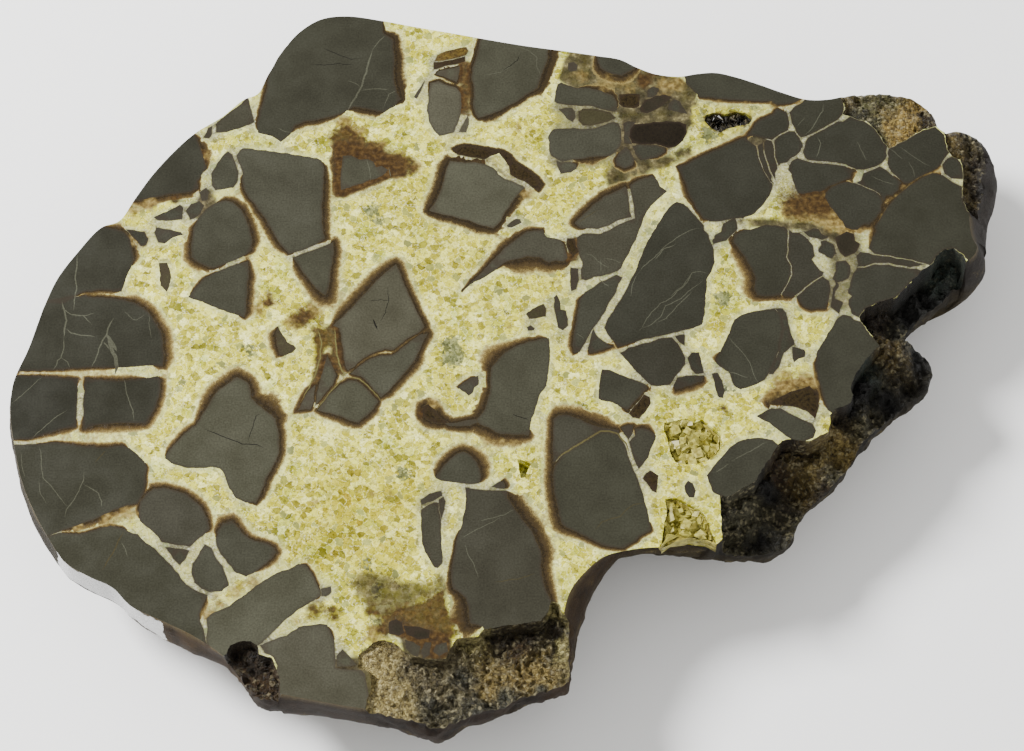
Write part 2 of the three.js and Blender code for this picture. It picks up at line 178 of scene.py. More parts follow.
def lumps(x, y, z):
    """Low swells of the natural surface."""
    return LUMP * (0.8 * np.sin(x / 24 + z / 14) + 0.7 * np.sin(y / 21 - z / 12 + 1.3)
                   + 0.35 * np.sin((x + y) / 11 + 2.1) + 0.3 * np.sin((x - y) / 8 + z / 6))


def walk_edge(rows, per_row):
    """The sawn edge as rows of x, y, outward direction, swell, drop and where it comes to rest."""
    n, points = len(rows), np.array(rows, float)
    loop = []
    for i in range(n):
        a, b, c, d = (points[(i + k) % n, :2] for k in (-1, 0, 1, 2))
        s0, s1, s2 = (max(1e-4, math.dist(p, q)) ** 0.5 for p, q in ((a, b), (b, c), (c, d)))
        m0 = ((b - a) / s0 - (c - a) / (s0 + s1) + (c - b) / s1) * s1
        m1 = ((c - b) / s1 - (d - b) / (s1 + s2) + (d - c) / s2) * s1
        for k in range(per_row):
            t = k / per_row
            at = b + m0 * t + (3 * (c - b) - 2 * m0 - m1) * t * t + (2 * (b - c) + m0 + m1) * t ** 3
            way = m0 + 2 * (3 * (c - b) - 2 * m0 - m1) * t + 3 * (2 * (b - c) + m0 + m1) * t * t
            way = way / np.hypot(*way)
            swell, drop = points[i, 2:] * (1 - t) + points[(i + 1) % n, 2:] * t
            loop.append([at[0], at[1], way[1], -way[0], swell, drop])
    loop = np.array(loop)
    bearing = np.arctan2(loop[:, 1] - HEART[1], loop[:, 0] - HEART[0])
    even = bearing[0] + 2 * math.pi * np.arange(len(loop)) / len(loop)
    ahead = np.arctan2(np.sin(bearing - even), np.cos(bearing - even))
    reach = SPREAD * per_row // 2
    mean = np.mean([np.roll(ahead, k) for k in range(-reach, reach + 1)], axis=0)
    turn = even + FOLLOW * mean
    rest = np.stack([HEART[0] + FLAT[0] * np.cos(turn), HEART[1] + FLAT[1] * np.sin(turn)], 1)
    return np.hstack([loop, rest])


def side(edge, depth):
    """Plan places of the side, at depths under the face, for rows of the walked edge."""
    x, y, nx, ny, swell, drop, rx, ry = edge.T
    out = swell * np.sin(math.pi / 2 * np.minimum(1, depth / drop))
    under = np.maximum(0, (depth - drop) / (THICKNESS - drop))
    share = np.sqrt(np.maximum(0, 1 - under * under))
    px, py = rx + (x + nx * out - rx) * share, ry + (y + ny * out - ry) * share
    lump = lumps(px, py, THICKNESS - depth) * np.minimum(
        np.minimum(1, depth / 8), (THICKNESS - depth) / 10)
    return px + nx * lump, py + ny * lump


edge_walk = walk_edge(rows_of(EDGE), PER_ROW)

# ---- The stone: where its face is broken off, and its open hollows -----------------------------
# The face has chipped off lower at five places, and three hollows lined with crystals and one pit
# are open in it. A break has the depth of its nearest given places, with a rugged relief.
RUGGED = 1.1
LEDGE, WALL = 0.8, 0.5  # how wide the drops at the rims of a break and a hollow are, in plan
# Each break: its outline, and x, y and depth at some of its places.
BREAKS = [
    ("""
    85.5,-57 85.5,-95 205,-95 205,35.5 179,35.5 177.4,39.5 174,41.5 170.5,41 168,38.5 166,35 163.5,33.5
    160,30 157,27 155,24.5 152,21.5 145,19.3 141,17 138,13.5 140,9.5 145,2 142,-1 139,-4.5 136,-9
    133.5,-14.5 134.5,-17.5 133.5,-21 130.5,-22.3 127.5,-23.2 125.5,-25.5 126,-28.5 124.5,-32 118,-36
    112,-35 108,-35.5 106,-38.5 104,-42 101,-46 98,-51 92,-55 88,-57.4
    """, """
    88,-60,6 95,-57,7 100,-52,8 104,-46,9 108,-40,8 90,-65,12 97,-62,13 104,-56,15 109,-49,15 92,-70,16
    101,-67,18 107,-60,19 112,-50,19 118,-45,17 113,-39,9 119,-40,12 123,-36.5,10 129,-34,15 129,-27,7
    134,-26,10 138,-21,9 137,-14,8 140,-8,8 144,-3,9 145,-14,13 150,-8,12 155,-3,11 143,-21,16
    150,-15,17 158,-8,18 163,-2,16 160,3,12 150,-1,8 143,9,4 148,6,5 154,5.5,6 147,2,5 142,14.5,10
    148,16,11 154,20,12 160,26,13 166,31,14 171,36.5,12 174,39,9 152,12.5,13 158,17,16 165,25,17
    172,31,18 178,34,16
    """),
    ("""
    -37.5,-132 -39,-150 45,-150 45,-102 29.6,-101 28,-97 25.5,-96.3 24.5,-100 22,-103.8 8,-105.8 2,-107
    0,-109.5 -7,-110 -8.5,-112 -11,-117.5 -17,-118 -23,-116.5 -27,-113 -32,-110.5 -36,-112 -40.5,-116
    -41,-120.5 -37.5,-122.5 -36,-127
    """, """
    8,-109,6 16,-108,7 22,-106.5,6 0,-113,5 -7,-113,4 10,-116,8 20,-114,8 0,-118,7 24,-119,7 8,-124,8
    18,-122,8 -3,-128,6 -12,-122,4.5 -12,-132,5.5 -20,-124,3 -22,-133,4 -30,-118,2 -32,-126,2
    -30,-132,2.5 -37,-117,1.2 26,-102,5 27,-112,7
    """),
    ("""
    136,115 136.5,104 137.5,101 136.5,98.5 140,96.8 145,95.5 148.5,91.5 151,87 153,83.8 160,87.7
    166.5,91.8 178,96 178,115
    """, """
    142,99,2.5 150,97,3 155,89,2 148,104,3.5 160,98,2.5 165,97,3.5 155,106,5 145,107,5 165,103,5
    138,104,2
    """),
    ("""
    174,96 174.5,87 174.8,83.5 176.5,80.5 179.3,79 180,74 179,62 180.5,57.5 183,55 205,54 205,96
    """, """
    177,85,1.8 181,82,3 184,76,4 185,66,4 184,59,4 181,66,2.5 182,74,3 186,84,5
    """),
    ("""
    -86,-115 -92,-122 -92,-136 -67,-136 -67.5,-126 -68.8,-121.5 -70.3,-117.5 -75.3,-115.7 -75.5,-113
    -78,-111 -82,-111.3 -85,-112.5
    """, """
    -83,-115,5 -79,-114,4 -79,-118,6 -78,-122,7 -73,-120,4 -71,-125,3.5 -75,-127,5 -84,-119,5
    """),
]
# The outlines of the hollows, and how deep their floors lie.
SLOT = """
84.5,95.5 86,93.3 88,91.3 90.5,90.3 92.5,92 97,93.4 101,94.3 102.3,96.8 100,98.8 96,99.3 92,98.3 88,99.2
85,98
"""
HONEY = """
66.3,-31.5 67.5,-35.5 68.5,-40.5 70,-44 74,-44.8 78,-44.5 81.5,-43.5 84.5,-41 86,-38.5 86.5,-33.5 84,-31
80,-27.5 77,-28.5 74,-27 70,-28 66.5,-28.5
"""
BRINK = """
66.5,-63 65.5,-68 64.5,-74 65,-84 83.5,-84 83.5,-74 82,-70 81,-66 78,-62 75,-60.5 70,-57.5 66,-58
"""
NOOK = """
14,-43 14.5,-47 15,-50 16.5,-49.5 18.8,-44.5 15.3,-43
"""
SLOT_FLOOR, HONEY_FLOOR, BRINK_FLOOR, NOOK_FLOOR = 11, 9, 8, 5
HOLLOWS = [(SLOT, SLOT_FLOOR), (HONEY, HONEY_FLOOR), (BRINK, BRINK_FLOOR), (NOOK, NOOK_FLOOR)]


def along(outline, step, closed=True):
    """Places every step or so along an outline, with any further values carried between them."""
    rows = np.array([tuple(p) + (0.0,) * (3 - len(p)) for p in outline], float)
    rows = np.vstack([rows, rows[:1]]) if closed else rows
    found = []
    for a, b in zip(rows[:-1], rows[1:]):
        count = max(1, round(math.dist(a[:2], b[:2]) / step))
        found += [a + (b - a) * k / count for k in range(count)]
    return np.array(found if closed else found + [rows[-1]])


noise.seed_set(1)  # noise_vector starts from this seed, so that every run wanders alike


def wander(rows, reach=0.32):
    """Moves places a little, the same way for all that lie together, as a broken edge wanders."""
    moved = rows.copy()
    for row in moved:
        slow = noise.noise_vector((row[0] * 0.33, row[1] * 0.33, 4.0))
        quick = noise.noise_vector((row[0] * 1.1, row[1] * 1.1, 9.0))
        row[:2] += reach * np.array((slow.x + 0.6 * quick.x, slow.y + 0.6 * quick.y))
    return moved


def is_inside(outline, x, y):
    """Which places lie inside a closed outline."""
    found = np.zeros(len(x), bool)
    for (ax, ay), (bx, by) in zip(outline[:, :2], np.roll(outline[:, :2], -1, axis=0)):
        if ay != by:
            found ^= ((ay > y) != (by > y)) & (x < (bx - ax) * (y - ay) / (by - ay) + ax)
    return found


def from_outline(outline, x, y):
    """How far places are from a closed outline."""
    nearest = np.full(len(x), 1e9)
    for a, b in zip(outline[:, :2], np.roll(outline[:, :2], -1, axis=0)):
        d = b - a
        t = np.clip(((x - a[0]) * d[0] + (y - a[1]) * d[1]) / max(1e-9, d @ d), 0, 1)
        nearest = np.minimum(nearest, np.hypot(x - a[0] - t * d[0], y - a[1] - t * d[1]))
    return nearest


def relief(x, y):
    """The broad relief of broken ground, from its place."""
    return RUGGED * (0.6 * np.sin(x / 2.9 + np.sin(y / 4.1) * 1.5) + 0.5 * np.sin(y / 2.3 + x / 5.2)
                     + 0.3 * np.sin((x - y) / 1.9 + 0.7))


def blended(given, x, y, soft, power):
    """Values at places, blended by distance from the given rows of x, y and value."""
    total = weights = 0.0
    for px, py, value in given:
        weight = 1 / ((x - px) ** 2 + (y - py) ** 2 + soft) ** power
        total, weights = total + np.multiply.outer(weight, value), weights + weight
    return (total.T / weights).T


def break_depth(depths, x, y):
    """Depth of a break from its given places, with its rugged relief."""
    depth = blended(depths, x, y, 2, 1.6)
    fine = np.array([noise.fractal((u * 0.45, v * 0.45, 2.0), 0.7, 2.1, 4) for u, v in zip(x, y)])
    facets = np.array([noise.voronoi((u * 0.28, v * 0.28, 7.0))[0][0] for u, v in zip(x, y)])
    crumbs = np.array([noise.voronoi((u * 0.75, v * 0.75, 3.0))[0][0] for u, v in zip(x, y)])
    ridges = np.abs(np.array([noise.noise((u * 0.3 + v * 0.16, v * 0.5 - u * 0.16, 5.0))
                              for u, v in zip(x, y)]))
    rough = (relief(x, y) + 1.2 * fine + 2.4 * (facets - 0.35) + 1.3 * (crumbs - 0.35)
             + 3.0 * (ridges - 0.2))
    return np.maximum(0.5, depth + rough * np.minimum(1, depth / 5))


def fallen(x, y):
    """How far the surface lies under the sawn face, at places in plan."""
    depth = np.zeros(len(x))
    for outline, depths in broken:
        here = np.where(is_inside(outline, x, y))[0]
        if len(here):
            drop = np.clip(from_outline(outline, x[here], y[here]) / LEDGE, 0, 1)
            depth[here] = break_depth(depths, x[here], y[here]) * drop
    for outline, floor in hollows:
        here = np.where(is_inside(outline, x, y))[0]
        if len(here):
            drop = np.clip(from_outline(outline, x[here], y[here]) / WALL, 0, 1)
            depth[here] = np.maximum(depth[here], floor * drop)
    return depth


broken = [(wander(along(rows_of(outline), 0.9), 0.5), rows_of(depths)) for outline, depths in BREAKS]
hollows = [(wander(along(rows_of(outline), 0.7), 0.3), floor) for outline, floor in HOLLOWS]

# ---- The stone: mudstone blocks, their rims and the veins between them --------------------------
# Drying mud shrank into blocks, and calcite filled the cracks. A block is its kind of mudstone,
# where that isn't grey, and its outline: x, y and, where brown calcite lines the crack, its width.
BLOCKS = """
| -99,90.5 -99.3,94 -95,98.8 -90,103 -87.5,106.5 -86.5,102 -85.5,98 -84.7,95 -86.5,94 -91,92 -96,90.5;
| -83.3,90.2 -83.6,95,1 -82,104,1 -80.5,110,1.5 -80,120 -75.2,127 -71,133.4 -65,139.3 -60,142.4 -52,144
-45,143 -37.8,141.8 -37.2,134.5,1 -35.5,133,2 -33.7,131.5,2.5 -33,127,2.5 -32.6,122,3 -33,117,3
-32.5,112.5,3.5 -31.5,108,3.5 -30,105,2 -32,102 -36,99.3 -38.5,99.5,2 -43,101,2.3 -48,101.5,2 -50,100
-55,97.5,1.2 -60,96.3,1.8 -66,95,1.8 -69.5,93.5,1.8 -71,90 -74.5,86.5 -78,89;
| -130.5,61 -129.5,64 -126,70.5 -122,76.5 -117,82.5 -112,88.5 -107.3,90.6 -106,87.3,1.5 -104.5,84,3
-103,79,2.5 -101.8,75.3,.5 -103.5,72.5 -105,70,1 -104.6,66.8,1.5 -107.5,65.2,2.5 -113,64.4,2.5
-119,63.3,3 -124.5,62,3;
| -94,82.4 -92.5,81 -91,77 -89.8,73 -90,69.5 -91.5,67 -95,66.5 -98,66 -99.5,68 -100,73 -98,77 -96,80.5;
| -120.5,54.5 -116,57 -111,59.6 -109.5,58.5 -110,53.6 -115,53 -119,53.4;
| -108.5,57.3 -107,60 -104,61.2 -101.8,59.5 -103,56.3 -105.5,54 -107,53.4;
| -104,65 -101.5,67 -100.4,65 -100.8,62 -103,61.3;
| -120,48 -119.2,50.3 -115,49.6 -110,48.2 -109.3,47.2 -113,46 -116,43.5 -118,44;
| -103.5,88.5 -102,92.5 -100.5,93.5 -100.5,90 -101.5,88;
| -140,50.6 -134,49.6,2 -131,48.6,3 -129,46,3.5 -127.8,42,3 -127,38,2 -127.5,34 -129,30 -130,26
-130.6,23.9 -134,24.4,1.2 -140,24.3,1.2 -145,23.5,1 -151.5,19.5 -162,20 -152,42;
| -147,22 -143,21.8,1 -138,21.4,1.2 -133,21,1.2 -130,20.5,1.5 -126,19.4,2.5 -122.5,17.4,2.7 -120,15,2.7
-118.3,12.5,2.7 -116.5,10,2.7 -115,6.5,3 -114.4,3,3 -114,0,3 -113.8,-3,3 -114,-6.2,2 -118,-6 -124,-6.5
-129,-6.9 -134,-6.8,1 -140,-6.8,1.2 -148,-7.4,1 -154,-7.8,.8 -172,-8.5 -174,5 -165,18;
| -174,-9.8 -158,-10.2,.8 -150,-10.9,1.2 -144.4,-11.3,1 -144,-15 -143.9,-20 -143.6,-26 -143.9,-30.3,1
-147,-30.6,2 -150,-31.6,2 -155,-33.3,1.2 -160,-34.9,.8 -174,-35.8;
| -141.4,-11,.8 -137,-11.6,1.5 -130,-12,1.8 -124,-11.6,1.5 -119,-10.9 -115.5,-10.3 -114.6,-12,1.8
-114.5,-17,2 -115.6,-22,2 -117.2,-26,2 -118.8,-28.9,2 -122,-28.8,2.5 -127,-28.6,3 -132,-28.9,3
-137,-29.6,2.5 -141.2,-31,1.5 -141.3,-25 -141.7,-18;
| -174,-37.5 -160,-37 -150,-36.4,.8 -146,-36.9,1 -142,-37.4,1.2 -136,-38.2,1.5 -131,-38,1.5
-127,-37.4,1.2 -124,-38.5 -121,-41 -118.6,-43.5 -117.6,-46,.8 -117.7,-52,.8 -118.3,-56,.8
-120,-59.8,.8 -124,-60.6,1.5 -128,-62.2,2.2 -133,-64.8,2.5 -138,-67,2 -143,-69,1.5 -147,-70.5 -150,-72
-165,-78;
| -147,-70.9 -144,-71,.6 -140,-71.5,.6 -135,-69.8,.8 -129,-68.3,.8 -125,-69,.8 -122.5,-70.5
-119.5,-71.5 -116,-74.6 -111,-78.8 -107,-83 -103.8,-87 -101.5,-90 -97,-93 -93.5,-94 -95,-97.5,1.5
-96.3,-101,1 -96,-104 -94.5,-107 -92,-118 -120,-106 -150,-92 -165,-78 -150,-72;
| -119.6,-62.5,1 -119,-59,1.8 -117,-56,2.2 -114.5,-54,2.2 -111,-53.7,1.8 -107,-54.6,1.8 -103.5,-56,1.8
-101,-58,2 -98.5,-60,2 -96.3,-63,2 -95,-66,1.5 -94.2,-69.3,1 -96,-71.5 -98.8,-74 -101,-76.2 -104,-75.6
-108,-75.2 -110.5,-74.3 -112.5,-72 -116,-68.7 -118.8,-66.5;
| -109.5,-76.3 -104,-76.8 -101,-77.6 -101.8,-80.5 -104,-83.2 -106.5,-80.5;
| -99.5,-82.5 -97.5,-79 -95.5,-75 -93.5,-76.5 -91.5,-80 -89,-83.5 -87.3,-87.5 -86.5,-90.5 -89,-92.8
-93,-93 -96,-92 -98.5,-89.5 -99.8,-86;
| -91.8,-73.5 -91.3,-70,1.5 -89.3,-67.2,2.5 -86.8,-66.3,2.5 -84,-69.2,2 -81.5,-72,1.8 -78,-73.9,1.5
-74,-75,1.5 -71.5,-76.5,1.8 -70.6,-78.2,1.8 -72,-80.7,2 -75,-83.2,1.5 -78,-86 -80.5,-87.2 -84,-86
-87,-82.7 -89.7,-78.8 -91.3,-76;
| -87,-10.6,3.2 -85,-11.6,3 -83,-13,2.8 -82,-16,3 -81.3,-19,3 -79.5,-21,5 -76,-24,6 -72.5,-27,4
-71.8,-30,2.2 -71,-34,2.2 -70.8,-40,2 -72,-44,2 -74,-48,2 -75.6,-52,2 -76.8,-56,2 -78.5,-59.6,1
-82,-59.4 -85.5,-57.6 -88,-54 -89.3,-50.5 -90.3,-48 -91.5,-46.4 -94,-45.7 -97,-46.3 -103,-46.3
-108,-45 -111.5,-42.2 -110,-39.2,1.2 -107.5,-36,1.5 -105,-33.2,1.5 -103,-31.2,1.5 -101,-29.6,1.2
-99.5,-27.2,1.5 -98.5,-25,2 -96.7,-21.5,3 -95,-18,3 -93,-15.5,3 -90,-13,3.2;
| -106,21.5 -103.5,25.5,.8 -101,29,.8 -98,31,.5 -94,33 -89,35.2 -84.8,36.1,1 -84.4,30,2.2 -84.6,22,2.2
-84.9,15,2.2 -85,13.3,1 -88,14.4 -93,16 -98,18.3 -102,20;
| -105.5,50,1.5 -104,54 -101,58 -98,60.6 -94,61.6,1.5 -91,60.5,2.2 -88.5,58,2.5 -86.5,54,2.5
-84.7,50,2.5 -83.7,45,2.5 -84,40.7,1.5 -87,38 -92,35.6 -97,33.6,1.5 -100,34.2,2.2 -103,35.6,2.5
-105.6,38,2.5 -106,43,2.2;
| -91,80.3 -89.7,83 -89,83.9 -84,83.4 -79,82.6 -72,81.6 -66,80.4 -61,79.6 -59,78.5 -58.2,76,1 -58,70,2.2
-58.3,60,2.4 -58.3,52,2.5 -56.8,45.8,1.8 -60,43.3 -64,41.2 -67.5,40 -70,39.3,1 -72.7,42.5,2.2 -76,48,2.4
-79,53.5,2.2 -82,58,2 -84.7,61.5,1.5 -87,65.3,1.5 -88.3,70,1.2 -88.3,73 -89.5,76.5;
| -68.7,38 -64,39.7 -59,41.8 -55,43.8 -53.7,44,2.2 -53.5,40,2.4 -54,35,2.4 -54.6,30,2.6 -55,25,3
-56,22.4,4 -58,23.5,3.5 -61,27,2.6 -64,31,2.4 -66.5,35,2;
olive | -73,10 -71,6 -69.5,3.5 -67,2.1 -66,1 -67.5,-1 -70,-2 -72,-1.5,1.5 -73,2,2 -73.5,6,2.5;
| -30.5,35,2.5 -33,33,3 -37,29,3.2 -41,24,3.2 -45,19,3.2 -49,14,3 -53,10.2,1 -50.7,9,1 -50,6,2 -49.3,1,2
-48.6,-4,1.8 -47.3,-8,1 -45,-6.2,.8 -42,-3.5,.8 -38,-.8,.8 -34,.5,.8 -31,.3,.8 -28,2.8,.8 -24,6.2,.8
-21.5,7.3,.6 -19.8,9.3,2 -20.3,11,2 -22,14.5,1.8 -24.2,19,2 -26.2,24,2 -28.2,29,2 -29.6,33,2.2;
| -46,-9.3,.8 -42.5,-5.7,.8 -39,-3.2,.8 -35,-1.8,.8 -31.5,-2,.8 -29,-.3,.8 -25,3.5,.8 -21.5,6.2,.6
-18.5,6.6,2 -20,4,2 -21.2,.5,1.8 -22.6,-3,2.5 -24.6,-6,2.8 -27,-9.6,2.3 -30,-13.3,2.2 -33.3,-17.3,2
-35,-18.8,1 -37,-16.6,1.2 -39.5,-13,1.4 -42.5,-10.3,1.4;
| -47,-12,1.2 -43.5,-12.4,1.4 -40.5,-14.9,1.4 -37.7,-18.2,1.2 -36,-20.3,1 -37.5,-23,2 -40,-26,2
-42.6,-28.4,2 -46,-27.9,2.2 -50,-26,2.2 -54,-24.5,2 -57.5,-23.8,1.2 -54.5,-18.8,1 -50,-13.8,1;
| -54.6,-2,1.2 -53,-6,1.2 -51.2,-10,1 -52.2,-13,1 -55,-17,1 -57.5,-20.8,.6 -58.4,-21.8 -57.9,-17,1
-57,-11,1.2 -55.6,-6,1.2;
| -58.7,-13.5,1 -59,-20,.5 -60,-23.4,1 -64.8,-23.8,1.5 -63,-20,1.5 -60.5,-15.5,1.5;
| -51.2,80.5,5 -48,80.8,5 -45,79,5 -42,79.2,4 -39.5,78.2,5 -38.8,75.6,4 -36.5,76,4 -34.3,74.6,5 -35,73,2
-38,71,2 -42,69.5,2.2 -46,68,2.4 -50,66.5,2.6 -51.5,66,2.6 -51.8,72,2.6;
| -19,112,.8 -16,113,1 -12,111,1 -9,110,1 -7.5,108,1 -7,103,1 -7.5,98 -8.5,94 -10,90.5 -13,89.5 -15,89
-17,91 -19,95 -20,100 -19.5,106;
| -16,117.3,.8 -11,118.4,1 -7.7,119.3,1 -8.2,115,1.2 -9,112.6,1 -13,114.4,.8 -17,116,.6;
| -8,90.6 -5,90.6 -4.1,94 -4.5,98 -6,95.2;
| -25,106 -22,111.5 -21,113 -22.5,108 -24,105;
| -.2,131.5,1 -1.5,124,1.6 -3,118,1.6 -3.2,114.5,1.6 -2.3,110,1.6 -2.6,103,1.2 -1.9,98.5,1 -.6,96.6,1
1.5,97.2,2.2 4.5,98.6,2.5 7.3,99.8,2 10,101.6,1.5 14,104.2,1.5 17.5,107,1.5 20,108.6,2 21.6,110,3
22.2,112.5,4 23.3,115.5,4 24.6,119.5,3.8 25.6,123.5,4 25.8,130,5 5,137;
| 44.6,128 44.5,121,1.5 45.5,118.8,2.5 47.6,117.1,3 50,116,3 53.5,115.4,3 56,116.6,3 58.3,118,2 62,124;
| 33,118 33.3,120.8 35.5,121.3 37,119.8 36.5,117.5 34.5,117;
| 28,104 28.4,108 29,111.3 30.6,112.3 33,111.2 36,109.9 41,110,1 46,108.6,2 50,106.5,2 51.6,104,1
51.6,100.2 50,99.6 46,100.6 42,102 38,102.1 33,102.4 29,103.1;
| 29.5,100.5 32,101.2 34.6,101.2 35.6,99.5 35.8,97 34.8,95 33,96.2 31.3,98.5;
olive | 37,99.8 38.5,101 44,100.8 49,99.2 51,96.8 48,95.2 44,94 41,93.4 38.6,93.8 37,95.8;
| 26.5,91 27.6,92.1 32,92.3 40,92 44,92.5 47,94 50,95.1 52,94.6 52.9,92 52.9,87 52.3,84.8 50.5,82
48.6,80.6 42,80,3 38,79.4,2 34.5,79 31,78 28.5,79 26.5,80.6 25.8,82.6 26,86 25.5,88;
| 28.6,78.3 30,77.7 34,77.9 36,77,1 36,75 34,73.6 30,72.9 29.4,74.6;
| 57,85 60,85.4 66,85 69,84,1 69,82,1 66,80,.8 62,79 60,79 58,81.3;
| 50.8,79.3,1 52.8,83 54.3,84.4 56,82.6 57.8,79 57,76.5,1.5 54,75.2,1.5 51,76.5,1;
| 54,86 53.9,94.5 56,95.5 58.5,95 56.5,92 55.8,88 57,85.6;
sooty | 57,94 62,94.5 70,95.5 75,95 77.5,94 77.5,90 76,87 73,84.5 70.5,84 66,85.5 60,85.5 57,86 55.5,90;
dusky | 60,101 62,104.5 66,106.2 70,107 72.3,106 69.3,103 66,100.2 63,99 60.5,99.4;
| 70.6,100.6 71,103.2 73.3,105 75.3,104 77,100.5 78,98.6 74,99.4;
| 63,106 63.2,109 65,110.5 67.6,109.8 67,107 65,105.8;
rusty | 52.5,107 56,107.5 60,107 60,102 58,101 54,101.5 52.5,103;
| 76.3,119 77.8,112 80,109.2 81.6,107.2 83,105.6,.8 88,105.6,1.3 94,104.6,1.3 100,104.4,1 106,104.1,1
113,104,1 118,104.5,.8 124,107 110,115 97,120 86,122;
| 103.5,94.6,1 107,97,1 111,99,.8 114.3,100 115,98 115.6,94 115.2,91.8 112,90 109.6,87.5 106.5,88.5
103,89.6 100.3,89.2,1;
| 117,99.5 118.6,100.7 122,102.7 124,108 134,109 137,104 135.6,99 134.4,96.7 130,93.7 126,91.2 123,89.8
120.5,88.8 119.4,89.8 118.4,92.3 117.5,96;
| 110.6,87 112.3,88.6 116,90.9 117.7,90.7 119.4,88 120.3,85 119.3,82.7 116,80.2 113,77.3 111.6,76.4
110.6,80 110.4,84;
| 104.2,84.4 105.6,86.8 105.4,83 106.4,77.5 108,72.5 109.3,69 108,69.8 106,74 104.6,79;
| 106.9,87 109,86.6 109.7,83 110,79 110.6,74.5 110.4,70.5 109.2,72.5 107.6,78 106.6,83;
| 121.7,84.6 123.3,88 127,90.1 131,92.6 135,95 139,94 143,91.6 147,89 149.8,86.5 151.3,83.5 151.8,80.7
150,78.2 148,76.8 144,75.5 141,75 137,77.2 133,78.4 127,78.8 122.3,79.5 121.3,81.5;
| 117,77.8 119,78.7 124,77 130,76.4 136,75.6 139,73.6,1 137.5,71.8,2 132,69,2.2 126,66.2,2 120,64.3,1.5
118,64.6 117,68 116.2,72 116,75.5;
| 143,72 146,73.6 149.5,75.4 152.7,72.4 156.5,69,1 154,66,1.6 151,63,1.6 149.7,61.3,1 148.6,64.2
146,66.3 143,67.8 140.3,69.2;
| 152.7,82 156,84 160,86.1 164,88.6 167,91.6 170.5,92 171.7,89.5 173.2,87 174,84 173.5,80 172,77.3
170,75.3,.8 166,73.6,1.2 162,71.2,1.2 158.3,68.8,1.2 156,71.3 153.8,74 152.8,77;
| 172.5,76.6 175,79 178,79.6 179.3,76.5 179.2,71.5 176,71.5 173.5,73.5;
| 129,64,2 131,67,1.2 135,68.8,.8 139,68.9 142,67.8 144,66.4 147,65.3 148.4,63,1 149,60.3,2
147.5,57,2.2 145,54,2.2 142,51.6,2 140,50.4,1.5 138,50.2,1.5 135,51.3,2 133,54.2,3 131,57.2,3
129.5,59.3,3 128.6,61.7,3;
| 143.2,42.6 145.3,46.8,1.5 148.2,52.3,2 151.3,57.3,2 155.2,62.2,1.6 160,67.3,1.2 165,71,1 169,72.6,.8
172,71.5 175,69.2 178,66.2 179,62 180.2,57 192,50 192,32 184,34 179,38.5 176,41 174,41.5 170.5,41
168,38.5 166,35.3 164.5,35 160,36.6 150,38.7 145,39.6;
| 140.6,39.6 145,38.7 150,38 158,36.6 163,34.8 158,34 150,35.6 145,35.9 141,34.2 138.6,34.6 139.3,38;
| 135.5,19 136,24 137,29 138.5,33 141,33.3 145,34.8 150,34.5 156,33.3 161,33 163.5,33.3 160,30 157,27
155,24.5 152,21.5 149,20.3 145,19.3 141,17 138.5,14.8 137,14 135.5,15.5;
| 88.5,47.6 90,51 93,53.6 94.6,54 95.2,52 94.5,49.6 92,47 89,44.6 86.6,43.5 86,44.6;
| 94.5,47,1.5 100,49.5 106,51.5 112,51 113.3,49 113.3,44 112.5,38 114,34 114,31 112.5,27 110,23.5
109,22,2.2 104,21.8,2.2 101.5,22.5,3 100.5,25,3.5 101,29,3.5 100,33,3.5 98,37,3.2 95.5,41,3 94,44,2.5;
| 114.5,49 118,47 121,44.5 121.5,41 122,37 124,34 126,32.5 125.5,30.5 122,28.5 118,25 115,22.5
112,21.5,2 110.5,22.5 113,27 115,31 114.8,34 113.5,38 114,43;
| 116,21 119,24.5 122,27 126,30 127.5,28 127.5,24 126.5,20 125,17,1.2 121,16.5,1.2 118,18,1.2;
| 120,49.5 124,50 128,47.8 129,47 126,45.5 122,47;
| 125.5,44 128,44.5 130,42.5 130,39 127.5,38 126,40;
dusky | 132,46 135,47.5 138,46.5 139,43 137,40 134,39 132.5,42;
| 129,29 130,32 132,35 134.5,35.5 135.5,32 133.5,28.5 131,27.5;
| 130,29 131.5,26 130.5,22 131.5,19 130.5,15.5 129,17 129.5,22;
| 77,77,1.2 80,79,1.2 84,81,1.2 88,83,1.2 92,85,1.2 96,87,1.2 99.3,88.3,.8 100.5,86.2 103,85 103.4,81
104.5,77 106.5,72 108.6,68.7 108.3,66 107.4,63.4 105.6,60.6 103.6,58 101.4,55.9 98.5,54.5 94,53.8
90,53.6 86,53.6 83.6,54.2,1 82.5,55.2,1 80.4,58.6,1.2 78.8,62,1.8 77,66,1.8 76,70,1.5 75,73,.8
73.5,75.8,.6;
| 35,52,2 38,55.5,2.2 42,59.5,2.2 46,63,2.2 50,65.2,2.4 54,67.3,2.2 55,66 55.3,62 55.4,58 56.2,54.6
52,53.6 48,51.3 44,49.8 40,49.8 37,50.2,1;
| 56,68,1.5 58.5,69.8,1.5 61.5,71.3,1.2 64.3,72.2,.6 66,70 67,67.6 69.6,65.5 67,63 64,60 62,57 60.3,53
58.6,48 57,44 55,40 53.3,36.5 52,33.5 50.5,32.2 46,30.4 42,29.8 39,28.3 37.3,29 37.3,33 38,35 36.6,39
35.8,43 36,46 38,47.9 42,47.7 45,47.6 48,49.2 52,51.8 56,53.6 57.4,54.2 57,58 56.8,62 56,66;
| 33.2,33.5 36.4,33.3 36.4,28.5 35.4,25 33.6,24 33.2,28;
| 36.5,20,1 38.5,23.5 42,26 46,28.5 50,30.5 52.3,29.5 51,27 50,24 48,20 46,16 44,12.5 42,10 40,6 38,2
36.5,-.5 34.5,-1,1 34,2,1.5 34.5,7,1.5 35.5,12,1.5 36,16,1.2;
